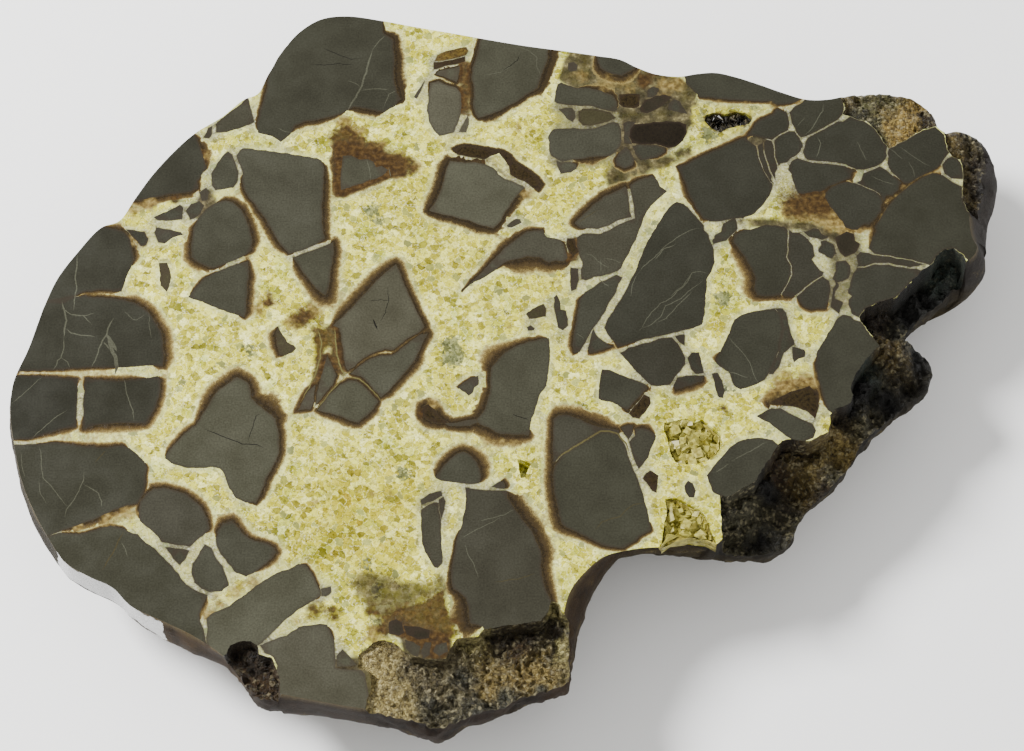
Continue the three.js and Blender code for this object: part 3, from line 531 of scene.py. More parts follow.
| 41.5,8.5 43,5.5 46,3 48,1.5,1 44,0,1.2 40,-1,1 39.5,1 40.5,5;
| 45.5,9 47,13 50,18 53,23 55.5,29 58,34 60,40 62,45 65,50 67,54 70,58.5 73,61 75.5,60 78,57 80,54 82,51
83.5,48.5 84.5,44.5 86,40 86.3,36 85,32 83.5,29.5 83,25 82.5,19 82,14 81,10.5 78,8.8 74,8 70,7 66,6 62,5
58,4 54,2.5,.8 50.5,1.5,.8 48,4.5 46.5,7;
| 51,-1 54,1 57,2 61,3 66,5 70,5.2 72,3 73,.5 74.5,-3 74.5,-5.5 73,-8 71,-10 69,-13.5 65,-14.2 62,-14
60,-12 57,-8.5 54,-5 52,-2.5;
| 75.5,-3 77,-1 79.5,-.5 80.5,-4 81,-9 78,-9.5 76.5,-7.5;
| 71.5,-11 75,-10 81,-9.8 80.5,-12,2 76,-14,2.2 71,-15.5,2 70,-14;
| 44.5,-7.5 47,-7.8 50,-9 53,-10.5 57,-12 60,-13.5 60.5,-15,1.5 58,-18,3 55,-21.5,3 53,-23.5,2 51,-22.5
48,-20.5 44,-19.8 43,-19 43.3,-14 44,-10;
| 71,6 74.5,6.5 74.5,2 72.5,3.5;
| 31.5,-69.2,2.5 29.5,-67.5,3 28.5,-64,3 28,-60,3 27,-55,2.6 26.5,-50,2.6 27,-45.5,2.6 30,-41.2 34,-38.4
39,-35.2 43.6,-32.2 47,-32.2 50,-33.3 52,-37 53.6,-42 55,-46.5 56.6,-50.5 58,-55 59.3,-60.5 60.3,-66
60.8,-69.8,1 57.5,-71.8,1 54,-74.8,1 51,-76.6,1 46.5,-76.4,1.2 41,-74.2,1.5 36,-71.2,1.8;
| 26.8,-44,2.5 26.6,-38,2.2 26.7,-32,2 26.8,-27,2 28.5,-25.7,3 32,-25.6,3 35,-26.8,4 38,-28.3,4.8
41,-29.5,5 44,-30.6,5 47.5,-31,2.5 50,-31.5,2 50.3,-32.8 47,-31.6 43.6,-31.6 39,-34.6 34,-37.8 30,-40.6
27.6,-43.6;
| 55.8,-34 56,-31,1 58.5,-30.5,2.5 61,-31.5,1.5 63.3,-33.5 62.8,-36 61.5,-39 60.3,-42 58.5,-44.5
56.8,-46.5 55.5,-43 54,-38 53.8,-36;
| 51,-30.5,1 53.5,-29.5,1 55,-29.5,1 54.8,-33 53.8,-35.3 52,-33;
rusty | 57,-21 59.5,-17.5 61.3,-18.5 61.8,-21 60,-24 57.5,-27 55,-26.5 53.8,-25 55,-23;
rusty | 58.6,-50 59.5,-48 61,-47.2 62.5,-48 64,-49 63.7,-52 63.3,-54.5 63,-56 61.5,-55 60,-52.5;
| -4.6,-53.8 0,-54.3 5,-54.7 10,-54.8 10.4,-57.5,4 12.5,-61,4 15,-64.5,4 17,-68,4 19.5,-71.5,4
21,-75,4 22.3,-79.5,3.5 22,-83,3 22.5,-87,3 23.5,-92,3 25.5,-96,2 27,-104 25,-114 5,-114 2,-106
-2.6,-104.5,5 -3,-99,5 -4,-95.5,4 -6,-93.5,3 -8.5,-92,2 -9,-89,1.5 -9.2,-85,1 -8.6,-80,.8 -7.5,-74,.8
-5.8,-68 -4.6,-62 -4.2,-58;
| -20.3,-58.2 -17,-56 -13,-55 -12.5,-57 -15,-58.5 -19.8,-60.3;
| -20,-62 -18,-60.8 -15.5,-59.3 -13.8,-59.5 -13.8,-62 -12.9,-66 -13,-70 -12.6,-75 -12.2,-80 -12.6,-82.6
-13.8,-84.3 -15.2,-83.9 -16.8,-81 -18.4,-78 -19.6,-74 -20.1,-68;
| -13.8,-58.5 -12.2,-57.3 -11.3,-59 -12,-63 -12.9,-65.5 -13.7,-62;
dusky | -30.5,-104 -28,-103 -26.2,-104.5 -25.3,-108 -27,-109 -30.5,-108.5;
dusky | -25.5,-105.5 -20,-106 -16.5,-107 -16.6,-110 -20,-110.5 -24.5,-108.5;
| -24.8,-110.5 -22,-111.5 -19.5,-113 -20.5,-117 -23,-115.5 -24.5,-113.5;
| -18,-111.5 -16,-111.5 -16.3,-116 -18.5,-117.5 -19.3,-114.5;
| -14.5,-112.5 -10.5,-111.5 -10,-115 -13,-116.5 -15,-115;
| -93.8,-103 -92.5,-101 -90,-100 -86,-98 -82,-95 -78,-91.5 -74,-88.5 -70,-86 -66,-84.5 -62.5,-82.6
-60,-83,.8 -58,-85.5,.8 -56.5,-89,.8 -54.8,-92.5,.8 -54.6,-94.5,.6 -57,-96.5 -62,-99.5 -66,-103 -70,-107
-74,-111.5 -76,-113 -76,-130 -92,-120 -93.6,-110 -93.2,-106;
| -54.5,-92 -51,-91 -50.8,-93 -52.5,-94.8 -54.3,-94.5;
| -60,-105.5 -55,-104.8 -52,-105 -50.5,-108,.8 -49,-112 -48.8,-116.5 -48.7,-121 -43,-121.5 -40,-121.5
-38.5,-123 -37.5,-128 -37,-131 -37,-140 -75,-133 -69.5,-125 -68.5,-120 -70,-117 -73,-115.5 -75,-112.5
-70,-110.5 -66,-109 -62,-106;
| -48.5,-116.5 -46.3,-114 -44,-116.5 -41.5,-119.5 -43.5,-120.3 -48.3,-120.3;
| 92.8,12.5 96,14.6 100,15.8 105,16.6 107.5,16.8 110,14 110.5,10 109.5,5 108.5,0 107,-4 105,-8.5
103,-11.5 100,-13.5 97,-14.6 94,-15.7 92,-14.5 91,-11.5 90,-8.5 87,-6.5 85.7,-5 86,-3.5,1.5 87.5,0
89.3,4 91,8;
| 108,17 111,17.8 112.5,15.5 113,11 114,6 114.3,2.5 112.5,1 110.5,-1 109,-4 108,-7 106,-9.5 104.5,-9.5
106.5,-5 108.3,-1 109.2,4 110.2,9 109.8,13.5;
| 113.5,1.5 115,1 118,0 117.8,-2.5 115.5,-3.2 113.8,-4.8 113.5,-3;
| 84,-9 86,-8.8 87.5,-12 88.3,-16 87.8,-19 86,-18.5 85,-15;
| 132.5,14 135,13.5 138,10.5 141,7 144,4 146,2 146,-2 143,-8 138,-14 136,-18.5 133,-22.5 130,-24
127,-25.5 125,-23.5 124.5,-21,.8 123.5,-18,1 122.5,-13,1.2 121.8,-9,1 121.5,-5,.8 122,-1.5 123.5,1.5
125.5,5 128,9 130.5,12.5;
rusty | 104.5,-20.5,3 109,-18,5 113,-16,5 117,-15,4 119,-14,3 121.5,-17,1 122,-22 120.5,-27 118,-24.5
114,-22.5 109,-21.8;
| 99.5,-26 102,-24.5 105,-23 108,-23 111,-24.8 115,-27 119,-29 120.5,-31.5 119.5,-34.5 116,-36 113,-36
110.5,-34.5 107,-31.5 103.5,-28.5 100.5,-27;
| 81,-49 83,-46 86,-42.5 89,-38.8 92.5,-36 96,-34.8 101,-34.4 105,-35.5 108,-38 110,-42 106,-48 98,-56
93,-59 90,-59 86.5,-57.5 83,-55.5 82,-52.5;
| 73,-53 74.5,-51 76,-52 77,-55 76.3,-57.5 74.5,-57.3 73.2,-55.5;
| 25.3,5 22,4.5,1.5 18,3.3,2 14,2,2 11.5,.8,2.5 9.5,-.8,3.5 7.8,-2.8,5 6,-4.8,5 4.8,-6.5,4 4.2,-9,3
4.2,-13,2.8 4,-17,2.8 3.3,-20,3 2.3,-23,3 1,-25.5,3.5 -.5,-27.3,3 .5,-29.2,4 3.5,-30.5,4 6,-32.2,4
8,-32.8,4 12,-33.2,3.5 16,-33.2,3.5 17.8,-33.8,2 18.5,-31 19.2,-27 20.3,-24 21,-20.5 22,-17.8 23.8,-15
24.8,-12 25,-8 25.8,-3 25.6,2;
rusty | -20,-22.5,2.2 -18,-21.5,2.2 -15.5,-23.3,2.2 -14,-26,2.2 -11,-28.5,2.2 -14,-29,2.2
-17.5,-27.5,2.6 -20,-26,2.2;
| -12,-28.8,1.8 -8,-28.6,1.8 -4,-27.6,1.6 -1,-27.2,2 0,-28.4,3 -3,-29.8,2.4 -7,-29.8,2 -10.5,-29.8,1.6;
| 0,-10 -2.5,-10.8,.6 -5.5,-12.8,.6 -7.3,-14.5,.6 -6.5,-15.5 -3.5,-18 -2,-17 -1.5,-15 -.2,-13.5;
| -15,-50 -14.2,-48.2,1.8 -12.5,-45.6,2.3 -10,-42.6,2.4 -7.6,-40.6,2.4 -5.2,-39.9,2.4 -2.8,-41,2.8
-1,-43.2,3.4 .6,-46.4,3.4 1.2,-49.4,2.4 .6,-52 -3,-52.4 -8,-51.6 -13,-51.2;
| 4.5,-53.6 7.5,-51.3 8.8,-51.5,1.5 9.7,-53.2,1.5 9.3,-54.2;
olive | -117.3,35.5 -114.5,35.8 -113.5,32.5 -112.8,29.5 -113.2,26 -114,23.8 -116.5,26.5;
| -130,49.5 -127,49 -123.5,48.5 -122,45.5 -122.5,43 -124.5,42.5 -126,44.5 -128,46.5;
| 8.4,40.8,2.2 10.4,42.6,2.4 12.5,44.6,2.5 15,46.6,2.5 17.5,48.5,1.5 20,49,1.5 23.3,49.3,1 24,47.5
25,46.2 27.5,45.8 30,45 31.2,43,2 31.6,40,2 32.5,37.5,2.5 31,36.3,4 28,36.5,4 25.5,35.8,3.5 24,36.5,4
22,37.8,5 19.5,38,5.5 17.5,38.4,5.5 15,37.3,5 12,36.8,4.5 9.5,35.8,3 8.2,35,.8 5.2,32 2.6,30.2 .4,28.6
-3.2,26.6 -6.3,24,.4 -2.4,28,1.2 0,30.6,1.3 2.9,34,1.4 5.6,37.4,1.8;
rusty | 32.3,45.8 35,45.5 35.3,43 36.5,40.3 34.5,38.3 32.8,40 32,43;
| 10.2,51 11.8,52.8 13.5,54 15,53.8 15.5,52.3 13.8,51.2 12,50.2 10.8,50.2;
| 27.2,21.5 28.5,22.5 29.3,20 29.8,16.5 31.6,16.2 32.2,12.5 32.3,9.8 30.5,8 28.8,9.3 28.3,12 27.5,17;
olive | 17,14.8 19.5,16.8 22,18 23.5,18.8 24.5,17 24.3,13.7 22,13.2 20,13 18.3,12.8;
| 17.3,9.3 18.8,10.2 20.3,9.2 19.8,8.2 18,8;
| -11,78.3,2.5 -8.5,78,3.5 -5,77.6,4 -2,77.8,4.5 0,77.3,5 2,76.8 5,75.5 7,73 9.5,70.5 12,69.8 15,68.2
16.8,66.7 15.2,65.5,2.5 13.5,63,2.6 11.5,60,2.6 9.8,57,2.6 8.2,54,2.6 6.5,51.5,2.6 5,49.8,2.4
3.5,50.5,2.6 0,51.2,3 -3.5,53,2.8 -8,54.3,2.4 -13,55.6,2.4 -18.6,57.3,2 -16.8,60,3 -15.2,64,3
-13.9,68,3 -13,72,3 -12.2,76,3;
rusty | -9.5,83.5,1.2 -6,84.8,1 -3,84.5,1 1,83.8,1 5,83,1 9,82.2,1 11.3,80.5,1 12.5,78,1.2 15,76.3,1
18,74.2,1 21,71.5,1 23.3,68.5,1 21.8,65.8,1 19.8,66.8 17.5,69 14,70.8 11.5,72.5 10.8,76 8.5,80 7,81.8
4.5,80.5 2,79.3 -1,79.5 -5,80.3 -8.5,81;
golden | -17.4,121.9 -16.4,124.2 -14,125.6 -11.3,126.6 -8.4,127.5 -5.4,128 -4.6,126.4 -5.4,124.4
-8,123.4 -11.2,122.6 -14.4,121.7;
rusty | -17.6,121.2 -14.4,121.3 -11.2,122.2 -8,123 -5.7,123.8 -5.7,121.6 -8,120.7 -11.2,120.1
-14.5,118.8 -17.6,117.9
"""
# Hairline cracks inside the blocks: what fills them, their width and their course.
HAIRLINES = """
pale .6 | -150.3,5 -150.2,0 -150.8,-3 -152,-4 -152.3,-6 -153.5,-8;
pale .4 | -150.5,-3 -148.5,-4.5 -147.5,-7;
pale .6 | -136.5,3.5 -137.5,0 -138.5,-4 -139.5,-6.8;
pale 2 | -134.5,5.5 -132.8,1 -131,-3 -130.5,-6.5 -130.8,-9.5;
pale .8 | -136,3.5 -133.5,.5;
pale .5 | -128,-10.5 -127,-14 -126,-18 -124.8,-21.5 -123.5,-24 -123.3,-28;
pale .35 | -157,-10.5 -160,-13.5 -164,-18 -167.5,-21;
pale .4 | -147,-23.5 -150.5,-26 -154,-29 -157.5,-33 -159.5,-35.5;
pale .4 | -156.5,-37 -155.5,-41 -154.8,-46 -154,-50 -151,-53 -148,-57 -145.5,-60.5 -143.5,-60.5;
pale .3 | -155.5,-51 -154.5,-56 -152,-60;
pale .5 | -139.7,-48 -139.8,-51 -141,-55 -143,-59 -145,-62 -145.5,-65;
pale .5 | -139.5,-52.5 -136,-54.5 -134,-56 -132.8,-59 -132.5,-61;
tan .5 | -132.5,-39.5 -134.5,-42 -136,-44;
pale .3 | -162.5,-40 -162,-45 -160.5,-50;
tan .8 | -124.5,-70.5 -126,-74 -128,-79 -131,-85;
pale .4 | -125,-74.5 -123.5,-76.5 -122.5,-80;
pale .7 | -147.5,39 -147.5,34 -148,30 -147,25 -147.5,20 -147.5,16;
pale .9 | -150.3,5 -150.4,8 -149.8,12 -151,16 -152,20;
pale .6 | -150,9 -148,7 -144,6 -139,5.5;
pale .5 | -152,17 -148,14.5 -144,14 -141.5,11.5 -140.5,10.5;
pale .4 | -148,14 -143,14 -140,15;
pale .8 | -133,13 -134.5,9 -135,6 -136.5,4 -137.5,0;
pale 1.8 | -135,6.5 -132.5,3 -131,0;
pale .3 | -129,16 -126,12.5 -124.5,12 -121.5,14.5;
pale .3 | -120,15 -119.5,9 -118.5,5;
pale .5 | 122,89.5 125,93 127,97 129,100 129.3,103;
pale .3 | 119,93 122,97;
pale .5 | 126.5,88.5 127.5,86 126.5,82 125.5,80;
pale .35 | 141,87 143,82 144.5,78.5;
pale .3 | 157,84.5 161,81 164,78.5 168,76;
pale .3 | 160,78 161.5,74.5 161.8,71.5;
pale .3 | 153,84 158,79;
pale .3 | 146,71.8 150,69.5 154,68.5;
pale .45 | 58,31 60,34 64,37.5 67,41 70,44 74,47 78,49.3 82,50.3;
pale .6 | 64.5,37 68,41.5 70,42 72,43;
pale .35 | 58,31 56,27 55.2,22;
pale .4 | 57.5,7.5 59.5,9.5 61,13 63.5,16 66,19 70,21 72.5,24 76,27.5 78,31.5 81,32 84.5,31;
pale .4 | 58,8.5 62,10 66,13.5 68,18 72,20 75,22.5 79,26 82,28.5;
pale .4 | 64,11 68,13 71,16.5 74,20 78,24;
pale .35 | 70,22 75,27 78,31.5;
pale .4 | 38.5,39.5 41,38.8 43,37 45,35 48,33.5;
pale .4 | 46,37.5 50,36.5 52,35.5;
pale .3 | 44.5,37 44.5,32;
pale .5 | 44,29 46,27 47.5,26;
pale .4 | 35.5,7 38,5;
tan .4 | 36,51.5 39,54.5 42,56.5 44,57.5;
pale .45 | -42,79 -41,74 -40.5,69.5;
pale .4 | -34,75.5 -33,71.5;
dark .35 | 15,124.5 14,122 10,118.5 8,117;
pale .35 | 2,115.5 8,117 12,119.5;
pale .4 | 14,128.5 19,126 21.5,123.5 21.5,119 23,115;
pale 1 | -41,127 -42.5,121 -43.5,116 -45,110.5 -46.5,106.5 -49,102.5 -50.5,98.5;
pale .5 | -41,127 -39,130 -36.5,133;
pale .35 | -50,113 -47,112 -45.5,110.5;
pale .45 | -45,109 -38,109.5 -34,109;
pale .45 | -36,102 -34.5,107 -31.5,109;
dark .35 | -60,127.5 -54,124.5 -49,122.5 -45,123;
dark .35 | -64,120 -58,120 -54,120.5 -48,120;
pale .3 | -76,92.5 -73,91 -71,90.5;
dark .45 | -98,-31 -95,-32 -90,-34.5 -86,-36 -84,-37 -79,-37 -75.5,-39;
dark .35 | -82,-36 -81,-32 -79.5,-26 -78,-25;
dark .8 | -38.5,12.5 -37.8,11 -37,8.5;
dark .3 | -33.5,26 -33,20 -34,15 -36,12;
dark .3 | -40,20 -36,20.5 -33,20;
pale .45 | 0,-66.5 5,-65.3 9,-64.2 13,-62;
pale .4 | -6,-73 -1,-70 4,-67.5 8,-65;
pale .45 | -4.5,-75 -3.5,-79 -1.5,-82 -.5,-85 .3,-88;
tan .5 | 6,-89.3 10,-88.8 15,-87.8 20,-86.2;
tan .5 | 41,-70 44,-66.5 47,-65.5 50,-64.8 53,-61.5 55,-60.3 59.5,-59.6;
dark .4 | 12,-25 14,-26 18,-27.5;
dark .7 | 15.8,-9.6 16.3,-9.3;
pale .45 | 90,-43.5 97,-39.5 103,-36;
pale .45 | 84,-48 89,-44.5;
pale .35 | 90,6 94,1 98,-5 99,-10 101,-14;
pale .45 | 87,-9 92,-9 97,-11;
cream .7 | -58.7,10 -57,3 -57.3,-3 -58.5,-8 -60.5,-14 -64,-21;
cream .8 | -52.5,9 -51.8,3 -51.2,-2 -50.2,-6 -48.5,-9.5 -45,-8.5;
cream .6 | -48,-10.3 -52,-15 -56,-20.5 -58,-24;
cream .6 | -47,-10.5 -43,-11.3 -40,-13.8 -37.2,-17.2 -35,-20;
cream 1 | 27.2,-43.9 29.5,-41.2 34,-38.1 39,-34.9 43.6,-31.9 47,-31.9 50,-33 52.6,-37 54.3,-42
"""
FILLED = 0.33  # half of the share of a hairline's width that its filling shows
HAIRLINE_COLOURS = {"pale": "#4e4f42", "dark": "#12100c", "tan": "#3e3925", "cream": "#6c693f"}
# Where the blocks have hardly moved apart, their outlines are drawn closer: x, y and radius.
CLOSE_UP = [(128, 75, 42), (112, 40, 34), (160, 62, 26), (172, 50, 14), (100, 12, 14)]


def strip(course, width):
    """The outline of a thin strip along a course, pointed at both ends."""
    rows = wander(along(course, 1.0, closed=False), 0.3)[:, :2]
    way = np.gradient(rows, axis=0)
    way /= np.maximum(1e-9, np.hypot(way[:, 0], way[:, 1]))[:, None]
    across = np.stack([-way[:, 1], way[:, 0]], 1)
    t = np.linspace(0, 1, len(rows))
    half = (width * FILLED * np.clip(np.minimum(t, 1 - t) * 6, 0.15, 1))[:, None]
    return np.vstack([rows + across * half, (rows - across * half)[::-1]])


def ccw(outline):
    """The outline, turned counterclockwise."""
    x, y = outline[:, 0], outline[:, 1]
    return outline if np.sum(x * np.roll(y, -1) - y * np.roll(x, -1)) > 0 else outline[::-1]


def rightward(rows):
    """Which way is right of the path, at each place of a closed outline."""
    way = np.roll(rows[:, :2], -1, axis=0) - np.roll(rows[:, :2], 1, axis=0)
    way /= np.maximum(1e-9, np.hypot(way[:, 0], way[:, 1]))[:, None]
    return np.stack([way[:, 1], -way[:, 0]], 1)


def grid_of(low, high, crumb_gap_shade):
    """The places of a square grid between two corners."""
    x, y = np.meshgrid(np.arange(low[0], high[0], crumb_gap_shade), np.arange(low[1], high[1], crumb_gap_shade))
    return np.stack([x.ravel(), y.ravel()], 1)


# The rim of the whole face: where a break runs out over the edge, it starts lower on the side.
start = np.zeros(len(edge_walk))
for _ in range(5):
    rim_x, rim_y = side(edge_walk, start)
    start = fallen(rim_x, rim_y)
places, faces, what = [], [], []


def lay_outline(outline, label):
    """Adds an outline to those that the face's triangles follow."""
    first = sum(len(p) for p in places)
    places.append(outline[:, :2])
    faces.append(list(range(first, first + len(outline))))
    what.append(label)


lay_outline(np.stack([rim_x, rim_y], 1), ("face",))
mudstones, block_edges = [], []
for block in BLOCKS.split(";"):
    mudstone, outline = block.split("|")
    mudstones.append(mudstone.strip())
    block_edges.append(ccw(wander(along(rows_of(outline), 1.0))))


def places_of(outlines):
    """A search tree of all places of the outlines, and which outline each belongs to."""
    tree, owners = kdtree.KDTree(sum(map(len, outlines))), []
    for k, rows in enumerate(outlines):
        for row in rows:
            tree.insert((row[0], row[1], 0), len(owners))
            owners.append(k)
    tree.balance()
    return tree, owners


GAP, SEAM = 5.0, 0.12  # the widest gap that closes up, and what is left of one beside a break
block_places, owner = places_of(block_edges)
break_places, _ = places_of([np.column_stack([o[:, :2], 0 * o[:, 0]]) for o, _ in broken])
closer = [rows.copy() for rows in block_edges]
for k, rows in enumerate(block_edges):
    for i, (x, y, _) in enumerate(rows):
        near = max(np.clip(1.3 - math.dist((x, y), (at_x, at_y)) / reach, 0, 1)
                   for at_x, at_y, reach in CLOSE_UP)
        if near == 0:
            continue
        other = min(((away, place) for place, j, away
                     in block_places.find_range((x, y, 0), GAP) if owner[j] != k), default=None)
        rim_at, _, to_rim = break_places.find((x, y, 0))
        if to_rim < GAP and (other is None or to_rim < other[0]):
            closer[k][i, :2] += max(0, 1 - SEAM / to_rim) * (np.array(rim_at[:2]) - (x, y))
        elif other:
            closer[k][i, :2] += 0.3 * min(1, 2 * near) * (np.array(other[1][:2]) - (x, y))
block_edges = closer
block_places, owner = places_of(block_edges)
for mudstone, rows in zip(mudstones, block_edges):
    lay_outline(rows, ("block", mudstone, tuple(rows[:, :2].mean(0))))
for hairline in HAIRLINES.split(";"):
    filling, width, *course = hairline.replace("|", " ").split()
    lay_outline(ccw(strip(rows_of(" ".join(course)), float(width))), ("hairline", filling))
for outline, _ in broken:
    lay_outline(ccw(outline), ("broken",))
for outline, _ in hollows:
    lay_outline(ccw(outline), ("hollow",))

# Loose places between the outlines: close beside the brown rims, in the breaks, and a wide grid.
LINED = 0.3  # the least width of a rim that gets places of its own
FINE_GRID, WIDE_GRID = 1.0, 3.2
loose = []
for rows in block_edges:
    outward, lined = rightward(rows), rows[:, 2] > LINED
    for share in (0.35, 0.8, 1.35):
        loose.append((rows[:, :2] + outward * (rows[:, 2] * share)[:, None])[lined])
    loose.append((rows[:, :2] + outward)[~lined][::2])
for outline, _ in broken + hollows:
    low, high = outline[:, :2].min(0), np.minimum(outline[:, :2].max(0), (200, 150))
    grid = grid_of(low, high, FINE_GRID)
    grid += 0.25 * FINE_GRID * np.sin(grid[:, ::-1] * 7.3 + 1.1)
    grid = grid[is_inside(outline, grid[:, 0], grid[:, 1])]
    off = from_outline(outline, grid[:, 0], grid[:, 1])
    loose.append(grid[off > LEDGE * 1.3])
    inward = rightward(outline) * (-1 if ccw(outline) is outline else 1)
    for share in (0.5, 1.05):
        ring = outline[:, :2] + inward * LEDGE * share
        away = from_outline(outline, ring[:, 0], ring[:, 1])
        loose.append(ring[is_inside(outline, ring[:, 0], ring[:, 1]) & (away > LEDGE * share * 0.7)])
grid = grid_of((-172, -145), (200, 148), WIDE_GRID)
loose.append(grid + 0.8 * np.sin(grid[:, ::-1] * 3.7 + 0.4))
loose = np.vstack(loose)
loose = loose[is_inside(places[0], loose[:, 0], loose[:, 1])
              & (from_outline(places[0], loose[:, 0], loose[:, 1]) > 0.5)]
flat = np.vstack(places + [loose])
plan, _, triangles, _, _, triangle_from = delaunay_2d_cdt(
    [Vector(p) for p in flat], [], faces, 0, 1e-4)
kept = [(t, f) for t, f in zip(triangles, triangle_from) if 0 in f]

# ---- The stone: its closed mesh ----------------------------------------------------------------
# The face is one sheet of triangles that follows every outline, so each block keeps a clean edge.
# From its border, rings go down the side to the flat of the back. Broken ground is laid in relief.
RING_DEPTHS = (0.015, 0.035, 0.06, 0.09, 0.125, 0.165, 0.21, 0.26, 0.31, 0.365, 0.42, 0.48, 0.54,
               0.6, 0.66, 0.72, 0.78, 0.84, 0.89, 0.93, 0.96, 0.985, 1)
used = sorted({i for t, _ in kept for i in t})
number = {old: new for new, old in enumerate(used)}
top = np.array([plan[i] for i in used])
top_triangles = [[number[i] for i in t] for t, _ in kept]
half_edges = {(a, b) for t in top_triangles for a, b in zip(t, t[1:] + t[:1])}
onward = {a: b for a, b in half_edges if (b, a) not in half_edges}
border, at = [], min(onward)
while at in onward:
    border.append(at)
    at = onward.pop(at)
border = np.array(border)

# Where each border place lies along the walked edge.
ring = places[0][:, :2]
step = np.roll(ring, -1, axis=0) - ring
rel = top[border][:, None, :] - ring[None]
along_step = np.clip(np.sum(rel * step, 2) / np.maximum(1e-9, np.sum(step * step, 1)), 0, 1)
off = np.hypot(*(rel - along_step[..., None] * step).transpose(2, 0, 1))
nearest = off.argmin(1)
share = along_step[np.arange(len(border)), nearest][:, None]
following = (nearest + 1) % len(ring)
walked = edge_walk[nearest] * (1 - share) + edge_walk[following] * share
begin = start[nearest] * (1 - share[:, 0]) + start[following] * share[:, 0]

depth_here = fallen(top[:, 0], top[:, 1])
depth_here[border] = begin
points = [np.column_stack([top, THICKNESS - depth_here])]
under_face = [depth_here]
count = len(border)
outward = walked[:, 2:4] / np.hypot(walked[:, 2], walked[:, 3])[:, None]
for part in RING_DEPTHS:
    depth = begin + (THICKNESS - begin) * part
    x, y = side(walked, depth)
    grain = np.array([noise.fractal((u * 0.16, v * 0.16, w * 0.16), 0.8, 2.1, 5)
                      for u, v, w in zip(x, y, depth)])
    rugged = 0.35 + 0.9 * np.clip(begin / 6, 0, 1)
    push = rugged * (grain - 0.35) * np.minimum(1, (depth - begin) / 1.6) * min(1, (1 - part) * 6)
    points.append(np.column_stack([x + outward[:, 0] * push, y + outward[:, 1] * push,
                                   THICKNESS - depth]))
    under_face.append(depth)
points.append(np.array([[HEART[0], HEART[1], 0.0]]))
under_face.append(np.array([float(THICKNESS)]))
points, under_face = np.vstack(points), np.concatenate(under_face)
low, high = np.array(cad_box) * 1000
points = np.clip(points, low + 0.01, high - 0.01)

all_faces = list(top_triangles)
first = len(top)
rings = [border] + [first + k * count + np.arange(count) for k in range(len(RING_DEPTHS))]
for upper, lower in zip(rings, rings[1:]):
    for i in range(count):
        j = (i + 1) % count
        all_faces.append([upper[j], upper[i], lower[i], lower[j]])
middle = len(points) - 1
for i in range(count):
    all_faces.append([rings[-1][(i + 1) % count], rings[-1][i], middle])

# What each face shows: the polished blocks and veins, broken ground, or the natural skin.
POLISHED, VEIN, BROKEN, SKIN = range(4)


def kind_of(found):
    """The material slot and the label of a face, from the outlines it lies in."""
    labels = [what[i] for i in found]
    for wanted, slot in (("broken", BROKEN), ("hollow", VEIN), ("hairline", POLISHED),
                         ("block", POLISHED)):
        for label in labels:
            if label[0] == wanted:
                return slot, label
    return VEIN, ("vein",)


kinds = [kind_of(f) for _, f in kept]
face_slots = np.array([k for k, _ in kinds] + [SKIN] * (len(all_faces) - len(kinds)))

# Broken ground and skin, by place: dark fresh breaks, pale and rusty ones, weathered skin.
# On the lower right and under the front edge, where the walls face away from the lamp, the darkest
# tones are painted shade: on the breaks over their own dark colour, on the side wholly.
BREAK_TONES = {
    # Near black: dark fresh break, darkened further as painted shade on the lower-right walls.
    "#0c0b08": "101,-67 104,-50 134,-20 140,-12 150,-14 165,-12 175,-8 160,3 172,8 166,29 "
               "176,30 190,15 158,22",
    # Dark brown: painted shade on the steep wall under the front edge, over the break's own colour.
    "#29200f": "8,-109 18,-107 26,-106",
    "#504e3a": "90,-63 112,-60 96,-57 130,-45 139,-26 182,22 100,-60",
    "#261d10": "111,-36 146,16 124,-52 183,68 186,57 184,79 -75,-118 -82,-114 26,-113 "
               "168,99 130,-22 111,-57",
    "#3a2a14": "109,-44 -70,-124 -78,-124 -35,-106 14,-112 -66,-128",
    "#5c4f2a": "113,-40 117,-50 178,58 178,86 -12,-110 142,4 150,2",
    "#7a6c40": "119,-42 126,-34 179,80 178,66 4,-118 22,-114 152,102 137,104",
    "#b0a26c": "-28,-132 -34,-114 -33,-122 -40,-118 -40,-130 -36,-127",
    "#9c8a54": "14,-121 22,-120 4,-124 131,-32",
    "#a8904e": "157,92 162,98 165,104 160,87",
    "#45453a": "-6,-122 0,-132 -14,-132 10,-129 22,-128 156,10 190,88 139,97 146,97",
    "#6e664c": "-20,-121 -13,-127 -17,-116 -8,-117",
    "#60603f": "140,92 145,104 150,97 148,87 153,107",
    "#2a352e": "173,36 140,-6 170,34",
    "#403e3d": "189,68 192,77 190,55 185,40",
    "#aea772": "-6,-107 0,-108 29,-97 29,-112",
}
SKIN_TONES = {
    "#332e22": "-170,-30 -165,-60 -150,-80 -150,50 -110,95 -60,142 0,140 60,125 120,115 -128,-98",
    "#3c2d19": "-110,-104 -98,-110 -88,-120 35,-122 45,-95 52,-82",
    "#2b2119": "-70,-130 -50,-135 -25,-138 0,-138 25,-132",
    "#54492c": "70,-82",
    # Near black: painted shade on the lower-right side, which faces away from the lamp.
    "#131110": "85,-80 100,-78 125,-65 150,-40 170,-20 190,10",
    "#393534": "196,50 196,80",
    "#403b2b": "175,105",
}


def placed(tones):
    """Rows of x, y and tone, from a table of tones and where they lie. Hex tones become linear."""
    return [(*place, to_linear(tone)[:3] if isinstance(tone, str) else tone)
            for tone, spots in tones.items() for place in rows_of(spots)]


